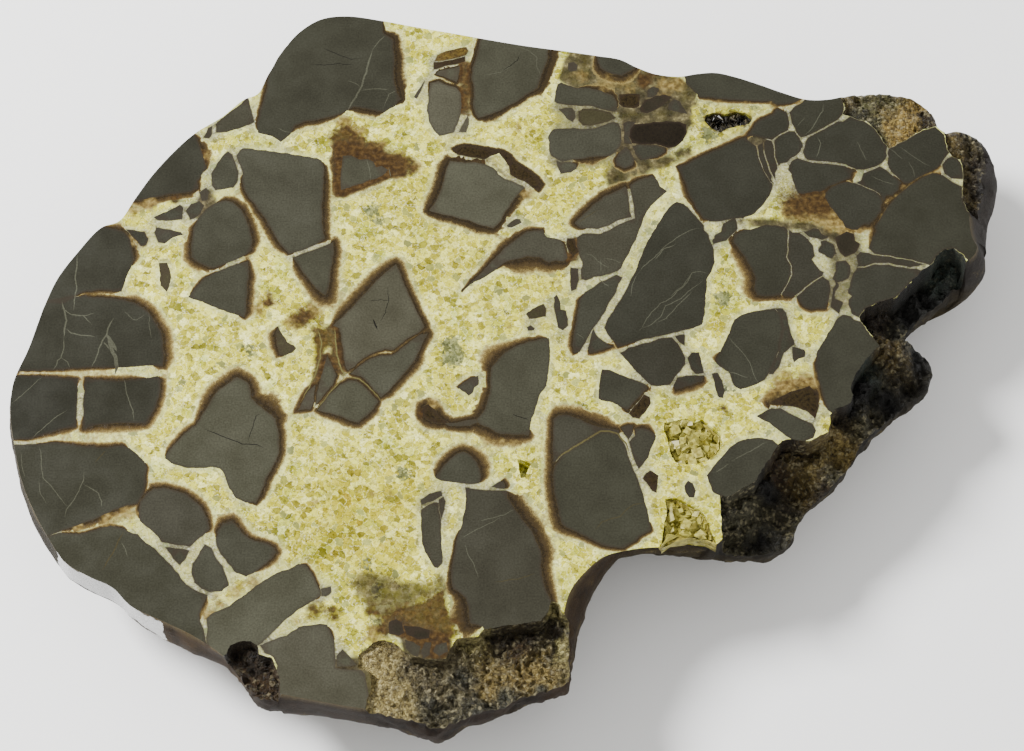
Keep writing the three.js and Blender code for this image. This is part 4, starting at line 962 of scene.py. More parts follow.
BACK_TONE, BACK_FROM, BACK_OVER = "#48412f", 14, 18  # the back, and where the side turns into it
wave_x = np.array([noise.noise((x * 0.2, y * 0.2, z * 0.2)) for x, y, z in points]) * 4
wave_y = np.array([noise.noise((x * 0.2, y * 0.2, z * 0.2 + 50)) for x, y, z in points]) * 4
on_break = blended(placed(BREAK_TONES), points[:, 0] + wave_x, points[:, 1] + wave_y, 1.5, 1.7)
on_skin = blended(placed(SKIN_TONES), points[:, 0] + 2 * wave_x, points[:, 1] + 2 * wave_y, 1.5, 1.3)
behind = np.array(to_linear(BACK_TONE)[:3])
deep = np.clip((under_face - BACK_FROM) / BACK_OVER, 0, 1)[:, None]
on_skin = on_skin * (1 - deep) + behind * deep

# Grey mudstone: tones from 0 to 255, and where they lie. The tone differs from place to place, and
# the pale tones at -75,-115 and 5,92 are painted sheen, where the polished face catches the light.
# The other kinds took up iron or soot, or are of the lining's brown calcite.
GREY_AND_SHEEN_TONES = {
    52: "-150,-22", 58: "-130,75 -150,25 70,30 90,75 150,90 75,-5",
    62: "-65,120 -150,-52 155,40 100,12", 66: "-115,-85 55,-38 34,-75 120,-40 125,0 60,110",
    # Painted sheen: the pale tones at -75,-115 and 5,92 stand for light caught by the polished face.
    70: "-90,45 20,132 -90,-75", 76: "-72,85 -60,65 40,55 20,-12",
    84: "-70,-35 -75,-115 -30,20", 98: "5,92",
}
GREY_SHARES = (0.857, 0.853, 0.7)  # red, green and blue for each step of tone
MUDSTONES = {"olive": "#3b3825", "rusty": "#322913", "dusky": "#282419", "sooty": "#1e180d",
             "golden": "#6c5c2a"}


def tone_of(label):
    """The hex colour of a hairline or a block; a grey block's comes from the tones around it, painted
    sheen included.
    """
    if label[0] == "hairline":
        return HAIRLINE_COLOURS[label[1]]
    if label[1]:
        return MUDSTONES[label[1]]
    tone = blended(placed(GREY_AND_SHEEN_TONES), *label[2], 60, 1.6)
    return "#%02x%02x%02x" % tuple(round(tone * share) - 4 for share in GREY_SHARES)


tones_of = {label: to_linear(tone_of(label)) for label in what if label[0] in ("hairline", "block")}
corner_colours = []
for i, face in enumerate(all_faces):
    if face_slots[i] == POLISHED:
        corner_colours += [tones_of[kinds[i][1]]] * len(face)
    else:
        source = on_break if face_slots[i] == BROKEN else on_skin
        corner_colours += [(*source[v], 1.0) for v in face]

# Distance from each place to the nearest block, and the brown lining's width there.
LINING_SPREAD = 1.2  # the stained calcite beside a lining makes it look wider
BETWEEN = 4  # places between two of a block's outline
tree_of_edges = kdtree.KDTree(sum(len(rows) * BETWEEN for rows in block_edges))
rim_widths = []
for rows in block_edges:
    for a, b in zip(rows, np.roll(rows, -1, axis=0)):
        for k in range(BETWEEN):
            tree_of_edges.insert((*(a[:2] + (b[:2] - a[:2]) * k / BETWEEN), 0), len(rim_widths))
            rim_widths.append(a[2] + (b[2] - a[2]) * k / BETWEEN)
tree_of_edges.balance()
found = [tree_of_edges.find((p[0], p[1], 0)) for p in points]
edge_off = np.array([f[2] for f in found])
rim_width = LINING_SPREAD * np.array([rim_widths[f[1]] for f in found])

# How narrow the vein is at each place: 1 in a thin crack, 0 where it is wider than 6 mm.
WIDE = 6.0
narrow = np.zeros(len(points))
for i in np.where(edge_off[:len(top)] < WIDE / 2)[0]:
    close = {}
    for _, k, away in block_places.find_range((points[i][0], points[i][1], 0), WIDE):
        close[owner[k]] = min(away, close.get(owner[k], WIDE))
    if len(close) > 1:
        narrow[i] = np.clip(1.4 * (1 - sum(sorted(close.values())[:2]) / WIDE), 0, 1)
# The veins of the upper right are cloudy all over, as thin ones are: x, y and radius.
CLOUDY, HOW_CLOUDY = ((138, 74, 34), (165, 60, 26), (131, 32, 13)), 0.75
for x, y, reach in CLOUDY:
    away = np.hypot(points[:, 0] - x, points[:, 1] - y)
    narrow = np.maximum(narrow, HOW_CLOUDY * np.clip(4 * (1 - away / reach), 0, 1))

# ---- The stone: rust, honey and grey spots in the veins -----------------------------------------
# Iron has stained the calcite brown and golden in places, and some of its grains are olive grey.
# A spot is x, y, its radius and its strength; a field is an outline that is stained throughout.
BROWN_SPOTS = """
-52,88,4.5,1 -46,86,4,1 -40,81.5,4.5,1 -33,78,4,1 -28,76,4.5,1 -64,13,4,1 -77,20,2.5,0.9
-21,-25,2,0.8 118,60,7,0.8 125,60,6,0.9 -15,-98,4,1 -20,-103,6,1 -12,-106,5,1 -25,-102,5,1
-14,-113,5,1 -30,-105,4,0.9 -36,-100,3,0.8 -56,-100,3.5,0.8 -50,-101,3.5,0.8 62,113,3.5,0.9
66,118,3,0.9 -86.8,87.5,1.2,1 -81,87,1.2,1 28,27.5,1.5,1 87,-23,1.5,1 -113,62,2,0.8 -103.5,82,1.6,0.8
-102,78.5,1.6,0.8 -125,46.5,2,0.9 -124,43.5,1.8,0.8
"""
GOLD_SPOTS = """
-51,95,3.5,0.9 -24,76,3.5,0.8 -46,90,3.5,0.9 -38,84,3.5,0.9 -30,79,3.5,0.9 -30,72,3,0.7 -61,16,3.5,1
-67,11.5,3.5,1 -77,20,3.5,0.8 -80,17,2.5,0.8 -103,80,3,0.8 -125,45,3.5,0.8 -58,13,2,0.8 -80,15,2,0.8
-75,23,1.5,0.8 -16,-21,2.5,0.8 3,-36.5,2,0.6 8,-36.5,2,0.6 13,-36.5,2,0.6 18,64,3,0.8 110,-13,5,0.8
118,-12,4,0.8 105,-17,3,0.7 130,52,4,0.9 115,57,4,0.9 135,49,3,0.9 -35,-109,4,0.8 -93,-101,3,0.7
-90,-97,3,0.7 -84,-93,3,0.7 -78,-90,3,0.7 -62,-104,2,0.6 -140,-68.5,2,0.8 -130,-66,3,0.8
-123,-64,3,0.8 -122,60,3,0.8 -128,57,3,0.8 48,112,4,0.5 56,110,4,0.5 38,115,4,0.5 70,111,4,0.7
75,112,3,0.7 100,102,2,0.6 110,102.5,2,0.6 90,103.5,1.5,0.6 120,103.5,2,0.6 11,10,1.6,0.7
-37,-56,2.5,0.6 -31,-57,2,0.6 -58,-60,2,0.6 -53,-67,2.5,0.6 14,93,2,0.6 18,96,1.5,0.6
"""
HONEY_SPOTS = """
-45,-62,16,0.9 -35,-80,11,0.8 -30,-55,11,0.8 -55,-80,9,0.8 17,88,6,0.6 -25,63,4,0.6 -70,5,9,0.3
-90,40,8,0.3 20,20,14,0.35 0,-30,8,0.3 75,-30,8,0.6 40,75,10,0.3 -10,40,14,0.3
"""
GREY_SPOTS = """
-9,-2,4,1 -10,3,3,0.9 -13,2,2,0.8 -83,1,2.5,0.8 -70.5,17,1.2,0.8 -27,-48,2.5,0.8 -56,-54,1.5,0.7
-39,-83,2.5,0.8 -35,-92,2.5,0.8 -35,-105,2.5,0.8 -37,-115,2.5,0.7 -44,-89,1.5,0.7 -40,57,3,0.9
-37,53,2.5,0.8 89,21,3,0.9 90,-15,2.5,0.5 92,21,1,1 83.5,98.5,3,0.6 86,89.5,4,0.65 103,100.5,2.5,0.5
100,92,2.5,0.5
"""
AROUND_SLOT = 0.95  # how brown the slot is inside its rim
BROWN_FIELDS = f"""
1 | -58,10.8 -59.8,8.5 -59,3 -59.5,-3 -59.3,-8 -60.3,-13 -63,-20 -66,-25.5 -61,-15 -56.3,-10 -55.3,-5
-55.8,1 -55,7 -56.3,10.2;
1 | -55,10 -53.3,3 -53.5,-3 -51,-8.5 -48.5,-10.5 -48,-8 -49.6,-3 -50.3,2 -51,6 -52.3,9.8;
1 | -54.5,64 -54.2,84 -54,91 -51.4,95 -48.8,91.3 -44.2,86.6 -36.5,82.8 -30.1,79 -23.5,77.8 -25.6,74.6
-30,72.2 -42,68 -52,62.3;
0.45 | -9,80 1.2,79.6 6,81.5 10.5,78.7 14.2,72.8 18,67.6 15.8,65.8 12.1,68.4 8,72 3.8,76 -2,77.6 -9,78;
1 | -8,98 -4,98 -4,121 -8,121;
1 | 33,36 36,36 36.6,46 33.6,46;
1 | -34.4,-106.2 -33,-104 -26.9,-100.9 -21.5,-98.5 -16.1,-95.6 -11.7,-91.8 -10.5,-96 -10.2,-103.3
-10,-113 -14,-117 -20.4,-113.5 -24.9,-110 -29.4,-108.9 -34,-108;
{AROUND_SLOT} |{SLOT}
"""
GOLD_FIELDS = """
1 | 112,60 118,62 124,64 129,64 129,60 131,57 134,53 137,50.5 142,49 138,48.5 132,49 126,51 120,53
114,55 111,57
"""
# Veins full of mud, murky brown-grey.
MURK_FIELDS = """
1 | 32,122 35,127 45,126 45,119 53,116 62,118 68,116 75,114 82,108 79,100 77.5,90 71,83 66,78 56,74
50,77 52,86 53.5,95 51.5,99 41,103 35,110 30,114;
0.7 | -104.5,61.5 -101,67 -98.5,65 -97,58 -94,50 -90,46.6 -96,46 -101,48 -104.5,55;
0.45 | 26,76 36,74 45,76 53,74 53,99 41,103 28,104 26,92;
0.9 | 96,53.5 105,53 114,52.5 119,53 126,50 134,47.5 139,47.2 138,44.5 131,44.5 125,47 119,49.5
104,50.5 96,51;
0.5 | 126,45 141,47 140,34 135,16 126,16 128,34;
0.9 | -26.5,-108 -9.7,-107.5 -8.7,-117.5 -24.8,-117.5;
0.9 | -49,-118 -40,-118 -39,-123.5 -49,-123.5;
0.9 | 98,90 107,90 107,83.5 98,83.5;
0.8 | -42.5,-117 -35,-117 -34.5,-131 -40,-133;
0.6 | -45,-89 -39,-84 -28,-88 -16,-90 -12,-84 -10.5,-92 -17,-96 -27,-101 -34,-104 -40,-99;
0.75 | 50.4,77 63.5,78 70.4,80 77.3,85.5 80,81.5 72.2,76.6 64.6,73.8 58.4,71.6 48.4,67.4 44.7,71.6;
0.3 | 80,105 94,104 107,102 101,91 92,86.5 80,83
"""
# How light the lining of the cracks is, by place: x, y and lightness.
MELLOW = """
-150,40,0.6 -115,50,0.8 -112,5,0.85 -120,-30,0.9 -100,-60,0.7 -98,85,0.5 -82,44,0.45 -60,20,0.5
-50,70,0.25 -40,120,0.1 -40,30,0.5 -18,14,0.35 0,65,0.12 -10,50,0.15 5,110,0.15 20,40,0.55 50,60,0.35
80,60,0.5 95,45,0.8 98,22,0.9 100,60,0.7 133,55,0.9 60,-10,0.7 45,-20,0.8 2,-4,0.8 -8,-27,0.35
10,-36,0.7 16,-60,0.3 -75,-22,0.5 -74,-55,0.3 -78,-76,0.8 -80,-90,0.8 -20,-95,0.3 30,-60,0.5
60,-50,0.7 85,-10,0.8 -98,-10,0.6
"""
# A crack with golden stain along it, and the radius and strength of its spots.
GOLD_LINE = "143,42 145,48 149,56 153,62 158,67 163,71 170,74 173,77 177,80"
GOLD_SPOT = (0.7, 0.45)


def stained(spots, fields=""):
    """How strongly each place is stained by rows of spots and by whole fields, given as text."""
    x, y = points[:, 0] + wave_x * 0.25, points[:, 1] + wave_y * 0.25
    strength = np.zeros(len(x))
    for px, py, radius, most in spots:
        away = np.hypot(x - px, y - py) / (radius * 1.25)
        strength = np.maximum(strength, most * np.clip(1.35 - away, 0, 1))
    for field in fields.split(";") if fields else ():
        most, outline = field.split("|")
        outline = np.array(rows_of(outline))
        off = from_outline(outline, x, y) * np.where(is_inside(outline, x, y), 1, -1)
        strength = np.maximum(strength, float(most) * np.clip(0.6 + off * 0.4, 0, 1))
    return strength


along_gold = [(*p[:2], *GOLD_SPOT) for p in along(rows_of(GOLD_LINE), 1.0, closed=False)]
stain = np.stack([stained(rows_of(BROWN_SPOTS), BROWN_FIELDS),
                  stained(rows_of(GOLD_SPOTS) + along_gold, GOLD_FIELDS),
                  stained(rows_of(HONEY_SPOTS)), stained(rows_of(GREY_SPOTS))], 1)
murk = stained([], MURK_FIELDS)
mellow = blended(rows_of(MELLOW), points[:, 0], points[:, 1], 9, 2)

# ---- The stone: the white number patch on its side ----------------------------------------------
# A collector's patch of matt white paint on the lower left side, brushed on for a number. It is
# bare here. Its outline is the signed distance, in millimetres, from the patch's border.
PATCH_FROM, PATCH_TO, PATCH_DEPTHS = (-148, -78), (-111, -107), (1.0, 15)
FAR = 9.0  # the greatest distance that is told apart
span = np.array(PATCH_TO, float) - PATCH_FROM
length = np.hypot(*span)
rel = walked[:, :2] - PATCH_FROM
on_patch = (rel @ span) / length
beside = np.abs(rel[:, 0] * span[1] - rel[:, 1] * span[0]) / length
patch = np.full(len(points), -FAR)
for k in range(len(RING_DEPTHS)):
    these = first + k * count + np.arange(count)
    depth = under_face[these]
    inner = np.minimum(np.minimum(on_patch, length - on_patch),
                       np.minimum(depth - PATCH_DEPTHS[0], PATCH_DEPTHS[1] - depth))
    patch[these] = np.where(beside < FAR, np.clip(inner, -FAR, FAR), -FAR)

stone_mesh = bpy.data.meshes.new("septarian_nodule")
stone_mesh.from_pydata((points / 1000).tolist(), [], [list(map(int, f)) for f in all_faces])
for name, kind, domain, values in (
        ("ground", "FLOAT_COLOR", "CORNER", np.array(corner_colours, np.float32)),
        ("stain", "FLOAT_COLOR", "POINT", stain),
        ("edge", "FLOAT", "POINT", edge_off), ("rim", "FLOAT", "POINT", rim_width),
        ("narrow", "FLOAT", "POINT", narrow), ("murk", "FLOAT", "POINT", murk),
        ("mellow", "FLOAT", "POINT", mellow), ("depth", "FLOAT", "POINT", under_face),
        ("patch", "FLOAT", "POINT", patch)):
    layer = stone_mesh.attributes.new(name, kind, domain)
    layer.data.foreach_set("color" if kind == "FLOAT_COLOR" else "value",
                           np.asarray(values, np.float32).ravel())
stone_mesh.polygons.foreach_set("material_index", face_slots.astype(np.int32))
stone_mesh.polygons.foreach_set("use_smooth", face_slots != BROKEN)
stone_mesh.update()
stone_mesh.set_sharp_from_angle(angle=math.radians(32))
stone = bpy.data.objects.new("septarian_nodule", stone_mesh)
bpy.context.scene.collection.objects.link(stone)


def millimetres(tree, warp=0.0):
    """Object coordinates in millimetres, bent a little for a pattern that isn't straight."""
    place = add_node(tree, "ShaderNodeTexCoord", {}).outputs["Object"]
    scaled = add_node(tree, "ShaderNodeVectorMath", {"operation": "SCALE"}, place, Scale=1000)
    if not warp:
        return scaled
    bend = add_node(tree, "ShaderNodeTexNoise", {}, scaled, Scale=0.9, Detail=2.0)
    centred = add_node(tree, "ShaderNodeVectorMath", {"operation": "SUBTRACT"},
                       bend.outputs["Color"], (0.5, 0.5, 0.5))
    return add_node(tree, "ShaderNodeVectorMath", {"operation": "MULTIPLY_ADD"}, centred,
                    (warp, warp, warp), scaled)


# Settings that the materials share: sums, an eased range, and a colour laid over or under another.
PLUS, MINUS, TIMES = ({"operation": how} for how in ("ADD", "SUBTRACT", "MULTIPLY"))
EASE = {"interpolation_type": "SMOOTHSTEP"}
LAID = {"data_type": "RGBA", "clamp_factor": True}
GLAZED = {"data_type": "RGBA", "clamp_factor": True, "blend_type": "MULTIPLY"}

# Polished mudstone: a dark grey-brown clay stone, sawn and polished with powder. It shines softly,
# and very fine grains and faint clouds show in it.
polished, tree, output = new_material("polished_mudstone")
coords = millimetres(tree)
ground = add_node(tree, "ShaderNodeAttribute", {"attribute_name": "ground"}).outputs["Color"]
edge = add_node(tree, "ShaderNodeAttribute", {"attribute_name": "edge"}).outputs["Fac"]
clouds = add_node(tree, "ShaderNodeTexNoise", {}, coords, Scale=0.09, Detail=4.0).outputs["Fac"]
grit = add_node(tree, "ShaderNodeTexNoise", {}, coords, Scale=1.6, Detail=3.0).outputs["Fac"]
shade = add_node(tree, "ShaderNodeValToRGB", {"stops": [(0.3, "#dedcd8"), (0.7, "#ffffff")]}, clouds)
colour = add_node(tree, "ShaderNodeMix", GLAZED, 1.0, i6=ground, i7=shade)
shade = add_node(tree, "ShaderNodeValToRGB", {"stops": [(0.3, "#cbc9c4"), (0.7, "#ffffff")]}, grit)
colour = add_node(tree, "ShaderNodeMix", GLAZED, 1.0, i6=colour, i7=shade)
# The brown fragments are of the lining's fibrous calcite, banded in tan and dark brown.
strength = add_node(tree, "ShaderNodeSeparateColor", {"mode": "HSV"}, ground).outputs[1]
brown = add_node(tree, "ShaderNodeMapRange", EASE, strength, 0.6, 0.75)
bands = add_node(tree, "ShaderNodeTexNoise", {}, millimetres(tree, 1.5), Scale=0.9, Detail=4.0,
                 Roughness=0.65).outputs["Fac"]
shade = add_node(tree, "ShaderNodeValToRGB", {"stops": [
    (0.36, "#857a68"), (0.5, "#e6decd"), (0.62, "#ffffff")]}, bands)
colour = add_node(tree, "ShaderNodeMix", GLAZED, brown, i6=colour, i7=shade)
near_rim = add_node(tree, "ShaderNodeMapRange", EASE, edge, 0.0, 1.1, 0.45, 0.0)
colour = add_node(tree, "ShaderNodeMix", LAID, near_rim, i6=colour, i7="#2b2119")
sheen = add_node(tree, "ShaderNodeMapRange", EASE, clouds, 0.3, 0.7, 0.2, 0.32)
bump = add_node(tree, "ShaderNodeBump", {}, Strength=0.05, Distance=0.00006, Height=grit)
shader = add_node(tree, "ShaderNodeBsdfPrincipled", {}, colour, Roughness=sheen, Normal=bump,
                  Specular_IOR_Level=0.14, IOR=1.55)
tree.links.new(shader.outputs[0], output.inputs["Surface"])

# Vein calcite, sawn and polished: interlocked clear and milky grains, 1 to 5 mm, each with its own
# tint, and a lining of brown fibrous calcite where it meets the mudstone.
vein, tree, output = new_material("vein_calcite_polished")
coords, bent = millimetres(tree), millimetres(tree, 1.6)
edge, rim, narrow, murk, mellow, grey_spots = [
    add_node(tree, "ShaderNodeAttribute", {"attribute_name": name}).outputs[out]
    for name, out in (("edge", "Fac"), ("rim", "Fac"), ("narrow", "Fac"), ("murk", "Fac"),
                      ("mellow", "Fac"), ("stain", "Alpha"))]
stains = add_node(tree, "ShaderNodeAttribute", {"attribute_name": "stain"}).outputs["Color"]
brown_spots, gold_spots, honey_spots = add_node(tree, "ShaderNodeSeparateColor", {}, stains).outputs
small, grain, large = [add_node(tree, "ShaderNodeSeparateColor", {}, add_node(
    tree, "ShaderNodeTexVoronoi", {"feature": "SMOOTH_F1"}, bent, Scale=scale,
    Smoothness=soft).outputs["Color"]).outputs
    for scale, soft in ((1.1, 0.3), (0.42, 0.22), (0.19, 0.4))]
seams = add_node(tree, "ShaderNodeTexVoronoi", {"feature": "DISTANCE_TO_EDGE"}, bent, Scale=0.42)
streaks = add_node(tree, "ShaderNodeTexNoise", {}, bent, Scale=1.3, Detail=4.0,
                   Roughness=0.7).outputs["Fac"]
drifts = add_node(tree, "ShaderNodeTexNoise", {}, coords, Scale=0.07, Detail=3.0).outputs["Fac"]
colour = add_node(tree, "ShaderNodeValToRGB", {"stops": [
    (0.0, "#8a8430"), (0.12, "#aba342"), (0.4, "#c9c24a"), (0.7, "#dcd66c"), (0.9, "#eeea9e"),
    (1.0, "#fbf8c4")]}, grain[0])
for amount, source, stops in (
        (0.75, small[0], [(0.0, "#8f8d64"), (0.14, "#cfcdab"), (0.5, "#f9f9ee"), (1.0, "#ffffff")]),
        (0.9, large[1], [(0.0, "#c9d09a"), (0.35, "#f2f1cf"), (0.7, "#fbfce4"), (1.0, "#ece9a6")]),
        (0.85, streaks, [(0.34, "#9b9c70"), (0.48, "#ffffff")]),
        (1.0, drifts, [(0.35, "#e2e2bc"), (0.55, "#fbfdf2"), (0.7, "#f8f9e4")])):
    tint = add_node(tree, "ShaderNodeValToRGB", {"stops": stops}, source)
    colour = add_node(tree, "ShaderNodeMix", GLAZED, amount, i6=colour, i7=tint)
# Milky seams between the grains.
milky = add_node(tree, "ShaderNodeMapRange", EASE, seams.outputs["Distance"], 0.0, 0.08, 0.45, 0.0)
clear = add_node(tree, "ShaderNodeMapRange", EASE, streaks, 0.42, 0.6)
milky = add_node(tree, "ShaderNodeMath", TIMES, milky, clear)
colour = add_node(tree, "ShaderNodeMix", LAID, milky, i6=colour, i7="#f6f5d2")
# Greyer and duller beside the lining, and cloudy in the thin veins.
off_lining = add_node(tree, "ShaderNodeMath", MINUS, edge, rim)
patchy = add_node(tree, "ShaderNodeMapRange", EASE, streaks, 0.35, 0.65, 0.55, 1.0)
dull = add_node(tree, "ShaderNodeMapRange", EASE, off_lining, 0.0, 3.0, 0.6, 0.0)
dull = add_node(tree, "ShaderNodeMath", TIMES, dull, patchy)
colour = add_node(tree, "ShaderNodeMix", LAID, dull, i6=colour, i7="#afb388")
cloudy = add_node(tree, "ShaderNodeValToRGB", {"stops": [
    (0.38, "#444131"), (0.5, "#726f5b"), (0.62, "#a3a18a")]}, streaks)
thin = add_node(tree, "ShaderNodeMath", TIMES, narrow, patchy)
colour = add_node(tree, "ShaderNodeMix", LAID, thin, i6=colour, i7=cloudy)
skirt = add_node(tree, "ShaderNodeMapRange", EASE, edge, 0.12, 0.4, 0.55, 0.0)
thin = add_node(tree, "ShaderNodeMapRange", EASE, narrow, 0.3, 0.7)
skirt = add_node(tree, "ShaderNodeMath", TIMES, skirt, thin)
colour = add_node(tree, "ShaderNodeMix", LAID, skirt, i6=colour, i7="#2c2920")
# Honey grains, and grey-green ones.
honey = add_node(tree, "ShaderNodeValToRGB", {"stops": [
    (0.0, "#cfc46a"), (0.35, "#f1eec0"), (0.6, "#fdfff8"), (0.8, "#e8e098"), (0.92, "#c4b44a"),
    (1.0, "#b09a34")]}, grain[1])
colour = add_node(tree, "ShaderNodeMix", GLAZED, honey_spots, i6=colour, i7=honey)
grey = add_node(tree, "ShaderNodeValToRGB", {"stops": [
    (0.0, "#252b20"), (0.5, "#4a5138"), (1.0, "#84875c")]}, small[1])
level = add_node(tree, "ShaderNodeMath", PLUS, grey_spots, add_node(
    tree, "ShaderNodeMath", TIMES, small[2], 0.4))
level = add_node(tree, "ShaderNodeMapRange", EASE, level, 0.55, 0.75, 0.0, 0.85)
colour = add_node(tree, "ShaderNodeMix", LAID, level, i6=colour, i7=grey)
rare = add_node(tree, "ShaderNodeMapRange", EASE, grain[2], 0.955, 0.965, 0.0, 0.6)
colour = add_node(tree, "ShaderNodeMix", LAID, rare, i6=colour, i7="#6a7048")
# Veins full of mud: murky grey-brown, with tan threads.
uneven = add_node(tree, "ShaderNodeTexNoise", {}, coords, Scale=0.8, Detail=4.0).outputs["Fac"]
threads = add_node(tree, "ShaderNodeTexNoise", {}, coords, Scale=3.2, Detail=2.0).outputs["Fac"]
broad = add_node(tree, "ShaderNodeTexNoise", {}, coords, Scale=0.22, Detail=5.0,
                 Roughness=0.65).outputs["Fac"]
mud = add_node(tree, "ShaderNodeValToRGB", {"stops": [
    (0.36, "#161006"), (0.45, "#292214"), (0.53, "#3a3322"), (0.6, "#544c34"), (0.68, "#79714f")]},
    broad)
muddy = add_node(tree, "ShaderNodeMapRange", EASE, murk, 0.1, 0.7, 0.0, 0.95)
colour = add_node(tree, "ShaderNodeMix", LAID, muddy, i6=colour, i7=mud)
# The lining: dark at the mudstone, then brown fibres, then ochre, with an uneven border. Where it
# is mellow, its brown is light and golden.
in_rim = add_node(tree, "ShaderNodeMath", {"operation": "DIVIDE"}, edge, add_node(
    tree, "ShaderNodeMath", {"operation": "MAXIMUM"}, rim, 0.12))
shifted = add_node(tree, "ShaderNodeMath", MINUS, uneven, 0.5)
in_rim = add_node(tree, "ShaderNodeMath", PLUS, in_rim, add_node(
    tree, "ShaderNodeMath", TIMES, shifted, 0.6))
in_rim = add_node(tree, "ShaderNodeMath", PLUS, in_rim, add_node(
    tree, "ShaderNodeMapRange", EASE, rim, 0.12, 0.35, 3.0, 0.0))
shifted = add_node(tree, "ShaderNodeMath", MINUS, threads, 0.5)
fibrous = add_node(tree, "ShaderNodeMath", PLUS, in_rim, add_node(
    tree, "ShaderNodeMath", TIMES, shifted, 0.75))
dark_lining = add_node(tree, "ShaderNodeValToRGB", {"stops": [
    (0.0, "#302816"), (0.1, "#20180b"), (0.22, "#140e05"), (0.42, "#2b2211"), (0.62, "#181106"),
    (0.82, "#352a16"), (0.93, "#4f4327"), (1.0, "#6f6238")]}, fibrous)
mellow_lining = add_node(tree, "ShaderNodeValToRGB", {"stops": [
    (0.0, "#302816"), (0.12, "#1b1408"), (0.3, "#302512"), (0.5, "#43351d"), (0.68, "#524323"),
    (0.85, "#6a5a31"), (1.0, "#8a7b4a")]}, fibrous)
lining = add_node(tree, "ShaderNodeMix", LAID, mellow, i6=dark_lining, i7=mellow_lining)
lined = add_node(tree, "ShaderNodeMapRange", EASE, in_rim, 0.95, 1.28, 1.0, 0.0)
colour = add_node(tree, "ShaderNodeMix", LAID, lined, i6=colour, i7=lining)
# Iron stain: golden and brown patches with ragged borders, in the veins and their linings.
ragged = add_node(tree, "ShaderNodeTexNoise", {}, coords, Scale=0.4, Detail=4.0,
                  Roughness=0.55).outputs["Fac"]
fibres = add_node(tree, "ShaderNodeTexNoise", {}, coords, Scale=0.6, Detail=4.0,
                  Roughness=0.5).outputs["Fac"]
shifted = add_node(tree, "ShaderNodeMath", TIMES, add_node(
    tree, "ShaderNodeMath", MINUS, ragged, 0.5), 0.9)
for spots, most, stops in (
        (gold_spots, 0.9, [(0.34, "#4a3a19"), (0.5, "#6a592d"), (0.66, "#887746")]),
        (brown_spots, 0.96, [(0.3, "#24180a"), (0.5, "#35250f"), (0.72, "#4d3a1c")])):
    level = add_node(tree, "ShaderNodeMath", PLUS, spots, shifted)
    level = add_node(tree, "ShaderNodeMapRange", EASE, level, 0.2, 0.8, 0.0, most)
    present = add_node(tree, "ShaderNodeMapRange", EASE, spots, 0.02, 0.2)
    level = add_node(tree, "ShaderNodeMath", TIMES, level, present)
    rust = add_node(tree, "ShaderNodeValToRGB", {"stops": stops}, fibres)
    colour = add_node(tree, "ShaderNodeMix", LAID, level, i6=colour, i7=rust)
gloss = add_node(tree, "ShaderNodeMapRange", EASE, small[0], 0.0, 1.0, 0.12, 0.34)
height = add_node(tree, "ShaderNodeMath", PLUS, small[1], add_node(
    tree, "ShaderNodeMath", TIMES, grain[1], 1.5))
bump = add_node(tree, "ShaderNodeBump", {}, Strength=0.16, Distance=0.0003, Height=height)
shader = add_node(tree, "ShaderNodeBsdfPrincipled", {}, colour, Roughness=gloss, Normal=bump,
                  Specular_IOR_Level=0.14, IOR=1.6)
tree.links.new(shader.outputs[0], output.inputs["Surface"])

# Broken mudstone: fresh and rusty breaks, rough to the touch, of crumbs 1 to 2 mm across, with
# painted shade in the gaps between them and calcite in some.
rough, tree, output = new_material("broken_mudstone")
coords = millimetres(tree)
ground = add_node(tree, "ShaderNodeAttribute", {"attribute_name": "ground"}).outputs["Color"]
lumpy = add_node(tree, "ShaderNodeTexNoise", {}, coords, Scale=0.7, Detail=7.0,
                 Roughness=0.72).outputs["Fac"]
crumbs = add_node(tree, "ShaderNodeTexVoronoi", {}, millimetres(tree, 1.2), Scale=0.85)
gaps = add_node(tree, "ShaderNodeTexVoronoi", {"feature": "DISTANCE_TO_EDGE"},
                millimetres(tree, 1.2), Scale=0.85).outputs["Distance"]
chance = add_node(tree, "ShaderNodeSeparateColor", {}, crumbs.outputs["Color"]).outputs
shade = add_node(tree, "ShaderNodeValToRGB", {"stops": [
    (0.33, "#575144"), (0.45, "#c2bcae"), (0.58, "#ffffff")]}, lumpy)
colour = add_node(tree, "ShaderNodeMix", GLAZED, 1.0, i6=ground, i7=shade)
light = add_node(tree, "ShaderNodeSeparateColor", {}, ground).outputs[0]
pale = add_node(tree, "ShaderNodeMapRange", EASE, light, 0.004, 0.07)
shade = add_node(tree, "ShaderNodeValToRGB", {"stops": [
    (0.0, "#a8a294"), (0.4, "#dfdbd0"), (0.7, "#ffffff")]}, chance[1])
colour = add_node(tree, "ShaderNodeMix", GLAZED, pale, i6=colour, i7=shade)
bright = add_node(tree, "ShaderNodeMix", LAID, 0.35, i6=colour, i7="#b5ab86")
speck = add_node(tree, "ShaderNodeMapRange", EASE, chance[0], 0.78, 0.86, 0.0, 0.8)
speck = add_node(tree, "ShaderNodeMath", TIMES, speck, pale)
colour = add_node(tree, "ShaderNodeMix", LAID, speck, i6=colour, i7=bright)
